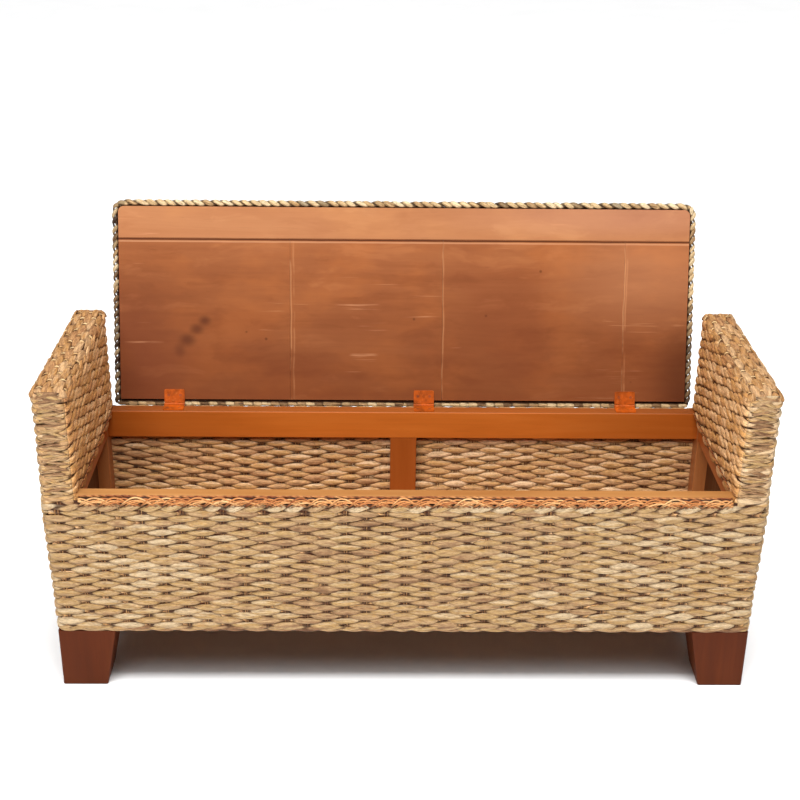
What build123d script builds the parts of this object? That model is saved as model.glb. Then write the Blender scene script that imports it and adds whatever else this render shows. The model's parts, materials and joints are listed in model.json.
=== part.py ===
from build123d import *
import os

# Storage bench with two woven arms, four block feet and a back-hinged lid.
# Working frame while modelling: x = 0 at the middle, y = 0 on the front woven
# face, z = 0 on the floor.  Everything is shifted at the end so that the
# origin is the centre of the footprint box of the whole bench, lid standing open.
# All lengths in millimetres.

# ---------------------------------------------------------------- dimensions
W = 1300.0            # width over the woven sides
D = 396.0             # depth over the woven faces, front to back
Z_BASE = 121.0        # underside of the woven body = height of the feet
Z_SEAT = 406.0        # top of the seat rails
Z_ARM = 615.0         # top of the arms
ARM_T = 63.0          # arm thickness
WEAVE = 12.0          # woven skin thickness
WEAVE_IN = 10.0       # woven skin on the inner side of each arm
ARM_CAP = 12.0        # woven layer on top of the arms
SKIN_TOP = 398.0      # top of the front woven skin, under its braided border
BACK_TOP = 403.0      # top of the back woven skin

POST_X = 41.0         # corner post section
POST_Y = 39.0
RAIL_Y = 25.0         # front top rail depth
RAIL_YB = 26.0        # back top rail depth
RAIL_H = 56.0         # front top rail height
RAIL_HB = 58.0        # back top rail height
LOW_H = 40.0          # bottom rail height
LOW_Y = 38.0          # bottom rail depth
PANEL_T = 6.0         # plywood side panel thickness
FLOOR_T = 9.0         # storage floor thickness

FOOT_TOP = 107.0      # foot section at the top
FOOT_BOT = 84.0       # foot section at the floor
FOOT_IN = 4.0         # foot set in from the woven faces

HINGE_X = (-464.0, 41.0, 450.0)   # hinge centres along the back rail
HINGE_L = 41.0        # hinge length
HINGE_Y = 387.2       # hinge axis
HINGE_Z = 408.25
LEAF_T = 2.0          # hinge leaf thickness
LEAF_W = 22.0         # hinge leaf reach on the rail
LEAF_WL = 27.0        # hinge leaf reach on the lid
KNUCKLE_R = 3.2
PIN_R = 1.5
PIN_BORE = 1.56       # running bore of the lid's knuckle
SCREW_R = 1.5
SCREW_HEAD_R = 2.9
SCREW_L = 14.0

LID_OPEN = 108.4      # opening angle of the lid as it stands
LID_W = 1161.0        # lid width over its woven edge
LID_FRONT = -21.8     # front edge of the closed lid
LID_Z0 = 410.5        # underside boards of the closed lid
BOARD_T = 9.0
FRAME_T = 18.0
LID_SKIN = 10.0
LID_EDGE = 8.0        # woven edge on the sides
LID_JOINTS = (-230.0, 77.0, 443.0)   # joints between the underside boards
BOARD_LINE = 52.2     # joint between the front board and the long panels

EPS = 0.2             # half gap between neighbouring boards

parts = {}


def slab(x0, x1, y0, y1, z0, z1):
    """Rectangular block between two corners."""
    return Pos((x0 + x1) / 2, (y0 + y1) / 2, (z0 + z1) / 2) * Box(x1 - x0, y1 - y0, z1 - z0)


def group(items):
    """Several separate identical solids kept as one sub-part."""
    return Compound([i.solids()[0] for i in items])


def long_round(s, axis, r):
    """Round the four edges that run along one axis."""
    return fillet(s.edges().filter_by(axis), r)


def all_round(s, r):
    return fillet(s.edges(), r)


def edge_at(s, axis, test):
    return [e for e in s.edges().filter_by(axis) if test(e.center())]


def rod(x, y, z0, z1, r):
    return Pos(x, y, (z0 + z1) / 2) * Cylinder(r, z1 - z0)


def rod_x(x0, x1, y, z, r):
    return Pos((x0 + x1) / 2, y, z) * Rot(0, 90, 0) * Cylinder(r, x1 - x0)


HW = W / 2
XI = HW - ARM_T               # inner woven face of an arm
XF = XI + WEAVE_IN            # inner face of the frame posts
XO = HW - WEAVE               # outer face of the frame posts
YB = D - WEAVE                # back face of the frame
ZC = Z_ARM - ARM_CAP          # top of the frame posts

# ---------------------------------------------------------------- woven skins
s = slab(-HW, HW, 0, WEAVE, Z_BASE, SKIN_TOP)
parts["front_weave"] = fillet(edge_at(s, Axis.Z, lambda c: c.Y < 1), 9)
s = slab(-HW, HW, YB, D, Z_BASE, BACK_TOP)
parts["back_weave"] = fillet(edge_at(s, Axis.Z, lambda c: c.Y > D - 1), 9)
parts["front_border_braid"] = long_round(slab(-XI, XI, -2, WEAVE, SKIN_TOP, SKIN_TOP + 11), Axis.X, 4)

for name, sg in (("left", -1), ("right", 1)):
    def sx(a, b):
        return (min(sg * a, sg * b), max(sg * a, sg * b))
    x0, x1 = sx(XO, HW)
    parts[f"{name}_side_weave"] = slab(x0, x1, WEAVE, YB, Z_BASE, ZC)
    x0, x1 = sx(XI, HW)
    s = slab(x0, x1, 0, WEAVE, SKIN_TOP, ZC)
    parts[f"{name}_arm_front_weave"] = fillet(edge_at(s, Axis.Z, lambda c: c.Y < 1), 9)
    s = slab(x0, x1, YB, D, BACK_TOP, ZC)
    parts[f"{name}_arm_back_weave"] = fillet(edge_at(s, Axis.Z, lambda c: c.Y > D - 1), 9)
    s = slab(x0, x1, 0, D, ZC, Z_ARM)
    s = fillet(s.edges().filter_by(Axis.Z), 9)
    parts[f"{name}_arm_top_weave"] = fillet(s.edges().group_by(Axis.Z)[-1], 7)
    x0, x1 = sx(XI, XF)
    parts[f"{name}_arm_inner_weave"] = slab(x0, x1, WEAVE, YB, Z_SEAT, ZC)

braids = []
for sg in (-1, 1):
    x0, x1 = min(sg * (XI - 4.5), sg * XI), max(sg * (XI - 4.5), sg * XI)
    braids.append(long_round(slab(x0, x1, 40, 356, Z_SEAT, Z_SEAT + 6), Axis.Y, 1.5))
parts["arm_border_braids"] = group(braids)

# ---------------------------------------------------------------- frame
bolt_xy = [(sg * (XF + POST_X / 2), y) for sg in (-1, 1)
           for y in (WEAVE + POST_Y / 2, YB - POST_Y / 2)]


def post(sg, y0):
    x0, x1 = min(sg * XF, sg * XO), max(sg * XF, sg * XO)
    p = long_round(slab(x0, x1, y0, y0 + POST_Y, Z_BASE, ZC), Axis.Z, 1.5)
    return p - rod(sg * (XF + POST_X / 2), y0 + POST_Y / 2, Z_BASE - 1, Z_BASE + 50, 4.1)


parts["front_left_post"] = post(-1, WEAVE)
parts["front_right_post"] = post(1, WEAVE)
parts["back_left_post"] = post(-1, YB - POST_Y)
parts["back_right_post"] = post(1, YB - POST_Y)

parts["front_top_rail"] = long_round(
    slab(-XF, XF, WEAVE, WEAVE + RAIL_Y, Z_SEAT - RAIL_H, Z_SEAT), Axis.X, 2)
rail = long_round(slab(-XF, XF, YB - RAIL_YB, YB, Z_SEAT - RAIL_HB, Z_SEAT), Axis.X, 2)

arm_rails = []
for name, sg in (("left", -1), ("right", 1)):
    x0, x1 = min(sg * XF, sg * XO), max(sg * XF, sg * XO)
    ya, yb = WEAVE + POST_Y, YB - POST_Y
    arm_rails.append(long_round(slab(x0, x1, ya, yb, ZC - 39, ZC), Axis.Y, 1.5))
    parts[f"{name}_seat_rail"] = long_round(slab(x0, x1, ya, yb, Z_SEAT - 54, Z_SEAT), Axis.Y, 1.5)
    xa, xb = min(sg * (XF - 12), sg * XO), max(sg * (XF - 12), sg * XO)
    parts[f"{name}_bottom_rail"] = slab(xa, xb, ya, yb, Z_BASE, Z_BASE + LOW_H)
    xa, xb = min(sg * (XO - 16), sg * (XO - 10)), max(sg * (XO - 16), sg * (XO - 10))
    parts[f"{name}_side_panel"] = slab(xa, xb, ya, yb, Z_BASE + LOW_H, Z_SEAT - 54)

parts["arm_rails"] = group(arm_rails)
parts["front_bottom_rail"] = slab(-XF, XF, WEAVE, WEAVE + LOW_Y, Z_BASE, Z_BASE + LOW_H)
parts["back_bottom_rail"] = slab(-XF, XF, YB - LOW_Y, YB, Z_BASE, Z_BASE + LOW_H)

zl = Z_BASE + LOW_H
parts["front_center_post"] = long_round(
    slab(-26.5, 26.5, WEAVE, WEAVE + RAIL_Y, zl, Z_SEAT - RAIL_H), Axis.Z, 1.5)
parts["back_center_post"] = long_round(
    slab(-26.5, 26.5, YB - RAIL_YB, YB, zl, Z_SEAT - RAIL_HB), Axis.Z, 1.5)

parts["floor_panel"] = slab(-XF + 1, XF - 1, WEAVE + RAIL_Y + 1.5, YB - RAIL_YB - 1.5, zl, zl + FLOOR_T)
parts["floor_slats"] = group([
    slab(x - 30, x + 30, WEAVE + LOW_Y, YB - LOW_Y, zl - 30, zl) for x in (-300, 0, 300)])


# ---------------------------------------------------------------- feet
# Outer faces upright, inner faces tapering towards the floor.
def foot(sx_, sy_):
    xo = sx_ * (HW - FOOT_IN)
    yo = FOOT_IN if sy_ < 0 else D - FOOT_IN
    px = [(xo, 0), (xo, Z_BASE), (xo - sx_ * FOOT_TOP, Z_BASE), (xo - sx_ * FOOT_BOT, 0)]
    py = [(yo, 0), (yo, Z_BASE), (yo - sy_ * FOOT_TOP, Z_BASE), (yo - sy_ * FOOT_BOT, 0)]
    a = extrude(Plane.XZ * make_face(Polyline(*[(p[0], p[1]) for p in px], close=True)), 500, both=True)
    b = extrude(Plane.YZ * make_face(Polyline(*[(p[0], p[1]) for p in py], close=True)), 700, both=True)
    f = a & b
    if isinstance(f, (list, ShapeList)):
        f = f[0]
    f = f.solids()[0]
    f = fillet([e for e in f.edges() if abs(e.center().Z - Z_BASE / 2) < 5], 3.0)
    f = chamfer(f.edges().group_by(Axis.Z)[0], 1.5)
    bx = sx_ * (XF + POST_X / 2)
    by = WEAVE + POST_Y / 2 if sy_ < 0 else YB - POST_Y / 2
    return f - rod(bx, by, Z_BASE - 60, Z_BASE + 1, 4.1)


parts["front_left_foot"] = foot(-1, -1)
parts["front_right_foot"] = foot(1, -1)
parts["back_left_foot"] = foot(-1, 1)
parts["back_right_foot"] = foot(1, 1)
parts["foot_bolts"] = group([rod(x, y, Z_BASE - 60, Z_BASE + 50, 4.0) for x, y in bolt_xy])

# ---------------------------------------------------------------- hinges
# Butt hinges: the rail leaf lies on the back rail and carries the two outer
# knuckles, the lid leaf carries the middle knuckle.
KG = 0.3                                        # end gap between knuckles
third = HINGE_L / 3
screw_dx = 12.0
rail_screws, lid_screws, pins = [], [], []
lid_screw_cut = []
Y_RS = YB - 12.0                                # screw line on the rail leaf
Y_LS = YB - 15.0                                # screw line on the lid leaf
for name, hx in zip(("left", "center", "right"), HINGE_X):
    xa, xb = hx - HINGE_L / 2, hx + HINGE_L / 2
    m0, m1 = xa + third, xb - third
    # rail leaf
    plate = slab(xa, xb, YB - LEAF_W, YB - 0.6, Z_SEAT, Z_SEAT + LEAF_T)
    plate = fillet(edge_at(plate, Axis.Z, lambda c: c.Y < YB - LEAF_W + 1), 3)
    leaf = plate
    for a, b in ((xa, m0), (m1, xb)):
        leaf = leaf + slab(a, b, YB - 1.2, HINGE_Y, Z_SEAT, Z_SEAT + LEAF_T)
        leaf = leaf + rod_x(a, b, HINGE_Y, HINGE_Z, KNUCKLE_R)
    leaf = leaf - rod_x(xa - 1, xb + 1, HINGE_Y, HINGE_Z, PIN_R)
    for dx in (-screw_dx, screw_dx):
        leaf = leaf - rod(hx + dx, Y_RS, Z_SEAT - 1, Z_SEAT + LEAF_T + 1, SCREW_HEAD_R + 0.05)
        rail = rail - rod(hx + dx, Y_RS, Z_SEAT - SCREW_L, Z_SEAT + 1, SCREW_R + 0.05)
        rail_screws.append(rod(hx + dx, Y_RS, Z_SEAT - SCREW_L, Z_SEAT + 0.2, SCREW_R)
                           + rod(hx + dx, Y_RS, Z_SEAT, Z_SEAT + LEAF_T - 0.2, SCREW_HEAD_R))
    parts[f"{name}_hinge_rail_leaf"] = leaf
    pins.append(rod_x(xa - 0.5, xb + 0.5, HINGE_Y, HINGE_Z, PIN_R))
    # lid leaf, in the closed position
    zt = LID_Z0
    plate = slab(xa, xb, YB - LEAF_WL, YB - 0.6, zt - LEAF_T, zt)
    plate = fillet(edge_at(plate, Axis.Z, lambda c: c.Y < YB - LEAF_WL + 1), 3)
    leaf = plate + slab(m0 + KG, m1 - KG, YB - 1.2, HINGE_Y, zt - LEAF_T, zt)
    leaf = leaf + rod_x(m0 + KG, m1 - KG, HINGE_Y, HINGE_Z, KNUCKLE_R)
    leaf = leaf - rod_x(xa - 1, xb + 1, HINGE_Y, HINGE_Z, PIN_BORE)
    for dx in (-screw_dx, screw_dx):
        leaf = leaf - rod(hx + dx, Y_LS, zt - LEAF_T - 1, zt + 1, SCREW_HEAD_R + 0.05)
        lid_screw_cut.append(rod(hx + dx, Y_LS, zt - 1, zt + SCREW_L, SCREW_R + 0.05))
        lid_screws.append(rod(hx + dx, Y_LS, zt - 0.2, zt + SCREW_L, SCREW_R)
                          + rod(hx + dx, Y_LS, zt - LEAF_T + 0.2, zt, SCREW_HEAD_R))
    parts[f"{name}_hinge_lid_leaf"] = leaf

parts["back_top_rail"] = rail
parts["hinge_pins"] = group(pins)
parts["hinge_rail_screws"] = group(rail_screws)
parts["hinge_lid_screws"] = group(lid_screws)

# ---------------------------------------------------------------- lid (closed)
LX = LID_W / 2
BX = LX - LID_EDGE                    # half width of the underside boards
LY0 = LID_FRONT + 11.8                # front of the boards
LY1 = HINGE_Y - 10.0                  # back of the boards
z1, z2, z3 = LID_Z0 + BOARD_T, LID_Z0 + BOARD_T + FRAME_T, LID_Z0 + BOARD_T + FRAME_T + LID_SKIN


def cut_all(s, tools):
    bb = s.bounding_box()
    for t in tools:
        c = t.bounding_box().center()
        if bb.min.X - 5 < c.X < bb.max.X + 5 and bb.min.Y - 5 < c.Y < bb.max.Y + 5:
            s = s - t
    return s


lid = {}
b = slab(-BX, BX, LY0, BOARD_LINE - EPS, LID_Z0, z1)
lid["lid_front_board"] = fillet(edge_at(b, Axis.Z, lambda c: c.Y < LY0 + 1), 12)
xs = [-BX] + list(LID_JOINTS) + [BX]
for i in range(4):
    a = xs[i] + (EPS if i else 0)
    c = xs[i + 1] - (EPS if i < 3 else 0)
    b = slab(a, c, BOARD_LINE + EPS, LY1, LID_Z0, z1)
    lid[f"lid_panel_{i + 1}"] = cut_all(b, lid_screw_cut)
b = slab(-BX, BX, LY0, LY0 + 45, z1, z2)
lid["lid_front_rail"] = fillet(edge_at(b, Axis.Z, lambda c: c.Y < LY0 + 1), 12)
lid["lid_back_rail"] = cut_all(slab(-BX, BX, LY1 - 45, LY1, z1, z2), lid_screw_cut)
lid["lid_cross_rails"] = group([
    slab(x - 22.5, x + 22.5, LY0 + 45, LY1 - 45, z1, z2)
    for x in (-BX + 22.5,) + LID_JOINTS + (BX - 22.5,)])

b = slab(-LX, LX, LID_FRONT, HINGE_Y, z2, z3)
b = fillet([e for e in b.edges().filter_by(Axis.Z) if e.center().Y < 0], 20)
lid["lid_top_weave"] = fillet(b.edges().group_by(Axis.Z)[-1], 5)
b = slab(-LX, LX, LID_FRONT, LY0, LID_Z0 - 0.5, z2)
lid["lid_front_edge_weave"] = fillet(edge_at(b, Axis.Z, lambda c: c.Y < LID_FRONT + 1), 11)
lid["lid_left_edge_weave"] = slab(-LX, -BX, LY0, HINGE_Y, LID_Z0 - 0.5, z2)
lid["lid_right_edge_weave"] = slab(BX, LX, LY0, HINGE_Y, LID_Z0 - 0.5, z2)
lid["lid_back_edge_weave"] = slab(-BX, BX, LY1, HINGE_Y, LID_Z0 + 2.5, z2)
for name in ("left", "center", "right"):
    lid[f"{name}_hinge_lid_leaf"] = parts.pop(f"{name}_hinge_lid_leaf")
lid["hinge_lid_screws"] = parts.pop("hinge_lid_screws")

# stand the lid open about the hinge axis
hinge_axis = Axis((0, HINGE_Y, HINGE_Z), (1, 0, 0))
for n, s in lid.items():
    parts[n] = s.rotate(hinge_axis, -LID_OPEN)

# ---------------------------------------------------------------- origin and export
lo = min(s.bounding_box().min.Y for s in parts.values())
hi = max(s.bounding_box().max.Y for s in parts.values())
SHIFT_Y = -(lo + hi) / 2
print("nodes", len(parts), "y range", lo, hi, "shift", SHIFT_Y)
print("hinge axis at y", HINGE_Y + SHIFT_Y, "z", HINGE_Z)

os.makedirs("parts", exist_ok=True)
for f in os.listdir("parts"):
    if f.endswith(".step"):
        os.remove(os.path.join("parts", f))
for n, s in parts.items():
    s = s.translate((0, SHIFT_Y, 0))
    s.label = n
    export_step(s, f"parts/{n}.step")
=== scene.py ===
import json
import math

import bpy
import numpy as np
from mathutils import Matrix, Vector

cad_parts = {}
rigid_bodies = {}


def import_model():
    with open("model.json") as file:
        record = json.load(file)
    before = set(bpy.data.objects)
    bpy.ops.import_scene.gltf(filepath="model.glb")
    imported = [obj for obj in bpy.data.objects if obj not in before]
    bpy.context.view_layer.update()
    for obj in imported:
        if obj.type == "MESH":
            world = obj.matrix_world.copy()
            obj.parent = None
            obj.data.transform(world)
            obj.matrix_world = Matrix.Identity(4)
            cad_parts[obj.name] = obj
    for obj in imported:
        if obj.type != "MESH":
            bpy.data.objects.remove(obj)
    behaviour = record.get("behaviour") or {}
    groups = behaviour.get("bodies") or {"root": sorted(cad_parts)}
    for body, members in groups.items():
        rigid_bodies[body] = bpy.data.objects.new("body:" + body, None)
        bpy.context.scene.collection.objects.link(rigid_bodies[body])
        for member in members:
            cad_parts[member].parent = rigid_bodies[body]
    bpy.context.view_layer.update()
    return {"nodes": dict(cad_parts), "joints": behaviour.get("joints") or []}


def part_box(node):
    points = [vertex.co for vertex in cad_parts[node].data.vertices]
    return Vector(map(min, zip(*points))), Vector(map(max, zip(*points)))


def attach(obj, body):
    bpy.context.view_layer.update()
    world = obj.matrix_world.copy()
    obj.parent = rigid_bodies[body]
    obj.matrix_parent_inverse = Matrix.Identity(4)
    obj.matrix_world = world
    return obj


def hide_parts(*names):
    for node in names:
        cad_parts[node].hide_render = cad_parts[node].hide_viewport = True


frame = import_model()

NODES = frame["nodes"]
RNG = np.random.default_rng(2573)

# ------------------------------------------------------------------ places, from the frame
# Lengths below are millimetres; y = 0 is the front woven face.
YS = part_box("front_weave")[0].y * 1000.0
HINGE = frame["joints"][0]
HY, HZ = HINGE["pos_m"][1] * 1000.0 - YS, HINGE["pos_m"][2] * 1000.0
OPEN = math.radians(HINGE["range_deg"][1])
W2 = 650.0
D = 396.0
ZB, ZS, ZA = 121.0, 406.0, 615.0
PITCH = 9.9
STAKE = 37.1


def world_base(p):
    """Working millimetres to frame metres, for pieces on the base; the sides swell a little where body and arms meet."""
    q = p.copy()
    z = q[..., 2]
    up = np.clip((z - 150.0) / 240.0, 0, 1)
    up = up * up * (3 - 2 * up) * np.clip((600.0 - z) / 190.0, 0, 1)
    q[..., 0] += np.sign(q[..., 0]) * 5.5 * up * np.clip((np.abs(q[..., 0]) - 604.0) / 40.0, 0, 1)
    q[..., 1] += YS
    return q * 0.001


def world_arm(p):
    """As world_base, with the arms swelling outwards a little towards their front top."""
    q = p.copy()
    w = np.clip((np.abs(q[..., 0]) - 594.0) / 50.0, 0, 1) * np.clip((q[..., 2] - 420.0) / 190.0, 0, 1) ** 1.6
    w = w * (0.45 + 0.55 * np.clip(1 - q[..., 1] / 300.0, 0, 1))
    q[..., 0] += np.sign(q[..., 0]) * 5.5 * w
    return world_base(q)


def world_lid(p):
    """Closed-lid working millimetres to frame metres, with the lid standing open."""
    q = p.copy()
    dy, dz = q[..., 1] - HY, q[..., 2] - HZ
    c, s = math.cos(OPEN), math.sin(OPEN)
    q[..., 1] = HY + dy * c + dz * s + YS
    q[..., 2] = HZ - dy * s + dz * c
    return q * 0.001


# ------------------------------------------------------------------ camera
def make_camera():
    pitch, yaw, roll = math.radians(25.14), -0.0183, 0.0131
    cp, sp = math.cos(pitch), math.sin(pitch)
    c, s = math.cos(yaw), math.sin(yaw)
    right = Vector((c, s, 0))
    fwd = Vector((-s * cp, c * cp, -sp))
    up = Vector((-s * sp, c * sp, cp))
    cr, sr = math.cos(roll), math.sin(roll)
    r2 = right * cr + up * sr
    u2 = up * cr - right * sr
    m = Matrix(((r2.x, u2.x, -fwd.x, -0.0543), (r2.y, u2.y, -fwd.y, -2.1741 + YS / 1000),
                (r2.z, u2.z, -fwd.z, 1.6221), (0, 0, 0, 1)))
    cam = bpy.data.objects.new("camera", bpy.data.cameras.new("camera"))
    cam.data.lens = 1395.3 / 800 * 36
    cam.data.sensor_width = 36
    cam.data.clip_start, cam.data.clip_end = 0.05, 100
    bpy.context.scene.collection.objects.link(cam)
    cam.matrix_world = m
    bpy.context.scene.camera = cam


make_camera()


# ------------------------------------------------------------------ small node helpers
def lin(r, g, b, a=1.0):
    """8-bit display colour to linear."""
    f = lambda v: (v / 255 / 12.92) if v / 255 <= 0.04045 else ((v / 255 + 0.055) / 1.055) ** 2.4
    return (f(r), f(g), f(b), a)


class Tree:
    def __init__(self, name):
        self.mat = bpy.data.materials.new(name)
        self.mat.use_nodes = True
        self.t = self.mat.node_tree
        self.t.nodes.clear()
        self.out = self.t.nodes.new("ShaderNodeOutputMaterial")
        self.bsdf = self.t.nodes.new("ShaderNodeBsdfPrincipled")
        self.t.links.new(self.bsdf.outputs[0], self.out.inputs[0])

    def new(self, kind, **props):
        n = self.t.nodes.new(kind)
        for k, v in props.items():
            setattr(n, k, v)
        return n

    def put(self, sock, v):
        if isinstance(v, bpy.types.NodeSocket):
            self.t.links.new(v, sock)
        elif v is not None:
            sock.default_value = v

    def math(self, op, a, b=None, c=None, clamp=False):
        n = self.new("ShaderNodeMath", operation=op, use_clamp=clamp)
        self.put(n.inputs[0], a)
        self.put(n.inputs[1], b)
        self.put(n.inputs[2], c)
        return n.outputs[0]

    def vec(self, op, a, b=None, scale=None):
        n = self.new("ShaderNodeVectorMath", operation=op)
        self.put(n.inputs[0], a)
        self.put(n.inputs[1], b)
        if scale is not None:
            self.put(n.inputs["Scale"], scale)
        return n.outputs[0]

    def mix(self, f, a, b, blend="MIX"):
        n = self.new("ShaderNodeMix", data_type="RGBA", blend_type=blend)
        self.put(n.inputs[0], f)
        self.put(n.inputs[6], a)
        self.put(n.inputs[7], b)
        return n.outputs[2]

    def ramp(self, f, stops, interp="LINEAR"):
        n = self.new("ShaderNodeValToRGB")
        n.color_ramp.interpolation = interp
        el = n.color_ramp.elements
        while len(el) < len(stops):
            el.new(0.5)
        for e, (p, c) in zip(el, stops):
            e.position = p
            e.color = c if len(c) == 4 else (*c, 1)
        self.put(n.inputs[0], f)
        return n.outputs[0]

    def noise(self, v, scale, detail=3.0, rough=0.55, dist=0.0, out=0):
        n = self.new("ShaderNodeTexNoise")
        self.put(n.inputs["Vector"], v)
        n.inputs["Scale"].default_value = scale
        n.inputs["Detail"].default_value = detail
        n.inputs["Roughness"].default_value = rough
        n.inputs["Distortion"].default_value = dist
        return n.outputs[out]

    def range(self, v, a, b, c, d):
        n = self.new("ShaderNodeMapRange")
        self.put(n.inputs[0], v)
        for i, x in zip((1, 2, 3, 4), (a, b, c, d)):
            n.inputs[i].default_value = x
        return n.outputs[0]

    def smooth(self, v, a, b):
        n = self.new("ShaderNodeMapRange", interpolation_type="SMOOTHSTEP")
        self.put(n.inputs[0], v)
        for i, x in zip((1, 2, 3, 4), (a, b, 0.0, 1.0)):
            n.inputs[i].default_value = x
        return n.outputs[0]

    def attr(self, name, out):
        n = self.new("ShaderNodeAttribute", attribute_name=name)
        return n.outputs[out]

    def sep(self, v):
        n = self.new("ShaderNodeSeparateXYZ")
        self.put(n.inputs[0], v)
        return n.outputs

    def comb(self, x, y, z):
        n = self.new("ShaderNodeCombineXYZ")
        for i, v in enumerate((x, y, z)):
            self.put(n.inputs[i], v)
        return n.outputs[0]

    def bump(self, height, strength, distance, normal=None):
        n = self.new("ShaderNodeBump")
        n.inputs["Strength"].default_value = strength
        n.inputs["Distance"].default_value = distance
        self.put(n.inputs["Height"], height)
        if normal is not None:
            self.put(n.inputs["Normal"], normal)
        return n.outputs[0]

    def set(self, name, v):
        self.put(self.bsdf.inputs[name], v)


# ------------------------------------------------------------------ materials
def strand_material(name, stops, dark=(74, 44, 24), warm=(204, 158, 92), fibre=1.0, shade_strength=0.85, pale=(240, 214, 174), gamma=1.3,
                    gain=1.16):
    """Dried plant stem: long fibres, patches of tone, a few stained spots, and painted shade in the hollows, creases
    and gaps between strands.
    """
    t = Tree(name)
    fib = t.attr("fib", "Vector")                     # around, around, along (millimetres)
    tint = t.sep(t.attr("tint", "Vector"))            # tone, painted shade, extra darkening
    x, y, z = t.sep(fib)
    stretched = t.comb(x, y, t.math("MULTIPLY", z, 0.055))
    fine = t.noise(stretched, 1.7, 4.0, 0.62)
    streak = t.noise(stretched, 0.42, 2.0, 0.5)
    patch = t.noise(fib, 0.045, 3.0, 0.6)
    blot = t.noise(fib, 0.19, 2.0, 0.5)
    tone = t.math("ADD", tint[0], t.math("MULTIPLY", t.math("SUBTRACT", streak, 0.5), 0.75))
    tone = t.math("ADD", tone, t.math("MULTIPLY", t.math("SUBTRACT", patch, 0.5), 0.45), clamp=True)
    col = t.ramp(tone, [(p, lin(*c)) for p, c in stops])
    col = t.mix(t.math("MULTIPLY", t.smooth(patch, 0.56, 0.72), 0.38), col, lin(*warm))
    col = t.mix(t.math("MULTIPLY", t.smooth(fine, 0.54, 0.34), 0.58 * fibre), col, lin(*[int(c * 1.45) for c in dark]))
    col = t.mix(t.math("MULTIPLY", t.smooth(fine, 0.55, 0.74), 0.46 * fibre), col, lin(*pale))
    col = t.mix(t.math("MULTIPLY", t.smooth(blot, 0.64, 0.80), 0.42), col, lin(128, 86, 52))
    # painted shade: the tint's second channel darkens hollows, creases, strand edges, undersides and the parts that
    # dive behind
    col = t.mix(t.math("MULTIPLY", tint[1], shade_strength), col, lin(*dark))
    # extra darkening from the tint's third channel: painted shade on the border's lining, and darker strands low on the
    # lid's sides
    col = t.mix(tint[2], col, lin(58, 36, 22))
    g = t.new("ShaderNodeGamma")
    t.put(g.inputs["Color"], col)
    g.inputs["Gamma"].default_value = gamma
    t.set("Base Color", t.vec("SCALE", g.outputs[0], None, gain))
    t.set("Roughness", t.range(fine, 0.3, 0.8, 0.50, 0.76))
    t.set("Specular IOR Level", 0.34)
    h = t.math("ADD", t.math("MULTIPLY", fine, 0.7), t.math("MULTIPLY", streak, 1.0))
    wr = t.noise(t.comb(x, y, t.math("MULTIPLY", z, 0.30)), 0.75, 2.0, 0.5)
    n1 = t.bump(h, 0.9, 0.0011)
    t.set("Normal", t.bump(wr, 0.40, 0.0011, n1))
    return t.mat


STRAW = [(0.0, (128, 90, 62)), (0.16, (168, 128, 92)), (0.34, (196, 158, 118)), (0.52, (213, 178, 137)),
         (0.68, (206, 168, 114)), (0.82, (224, 194, 156)), (1.0, (232, 206, 172))]


def shade(stops, r, g, b):
    return [(p, (min(255, int(c[0] * r)), min(255, int(c[1] * g)), min(255, int(c[2] * b)))) for p, c in stops]


OUTER = strand_material("woven_stem_outer", shade(STRAW, 0.945, 0.972, 0.985), gain=1.09)
ARMS = strand_material("woven_stem_arm", shade(STRAW, 0.99, 0.995, 0.99))
ARMIN = strand_material("woven_stem_arm_inner", shade(STRAW, 1.08, 1.03, 0.96), gain=1.12)
ARMTOP = strand_material("woven_stem_arm_top", shade(STRAW, 0.93, 0.89, 0.84), fibre=1.1)
# painted light: a brighter copy of the straw colours for the shaded inside of the box
INNER = strand_material("woven_stem_inner", shade(STRAW, 1.07, 1.065, 1.06), shade_strength=0.95, gain=1.24)
STAKES = strand_material("thin_stakes", [(0.0, (104, 70, 42)), (0.4, (150, 108, 70)), (0.7, (182, 142, 96)),
                                         (1.0, (212, 176, 128))], shade_strength=0.5)
TIES = strand_material("pale_ties", [(0.0, (196, 156, 104)), (0.5, (232, 200, 150)), (1.0, (250, 228, 186))], shade_strength=0.3)
BRAID = strand_material("border_cord", [(0.0, (160, 98, 54)), (0.35, (206, 146, 90)), (0.6, (222, 168, 112)),
                                        (1.0, (238, 204, 154))], dark=(84, 34, 14), warm=(206, 130, 66), shade_strength=0.95)
EDGE = strand_material("lid_edge_rope", [(0.0, (120, 92, 62)), (0.2, (184, 152, 112)), (0.5, (224, 198, 156)),
                                         (1.0, (244, 226, 192))], dark=(70, 48, 30), shade_strength=0.9)
# painted shade: a dark strand material for the sheets that fill the gaps in the weave
SHADE_CORE = strand_material("painted_shade_core_fibre", [(0.0, (70, 38, 18)), (0.5, (98, 58, 31)), (1.0, (126, 80, 46))], dark=(48, 28, 15),
                       warm=(112, 68, 36), fibre=0.5, shade_strength=0.3, pale=(146, 104, 66))


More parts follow.
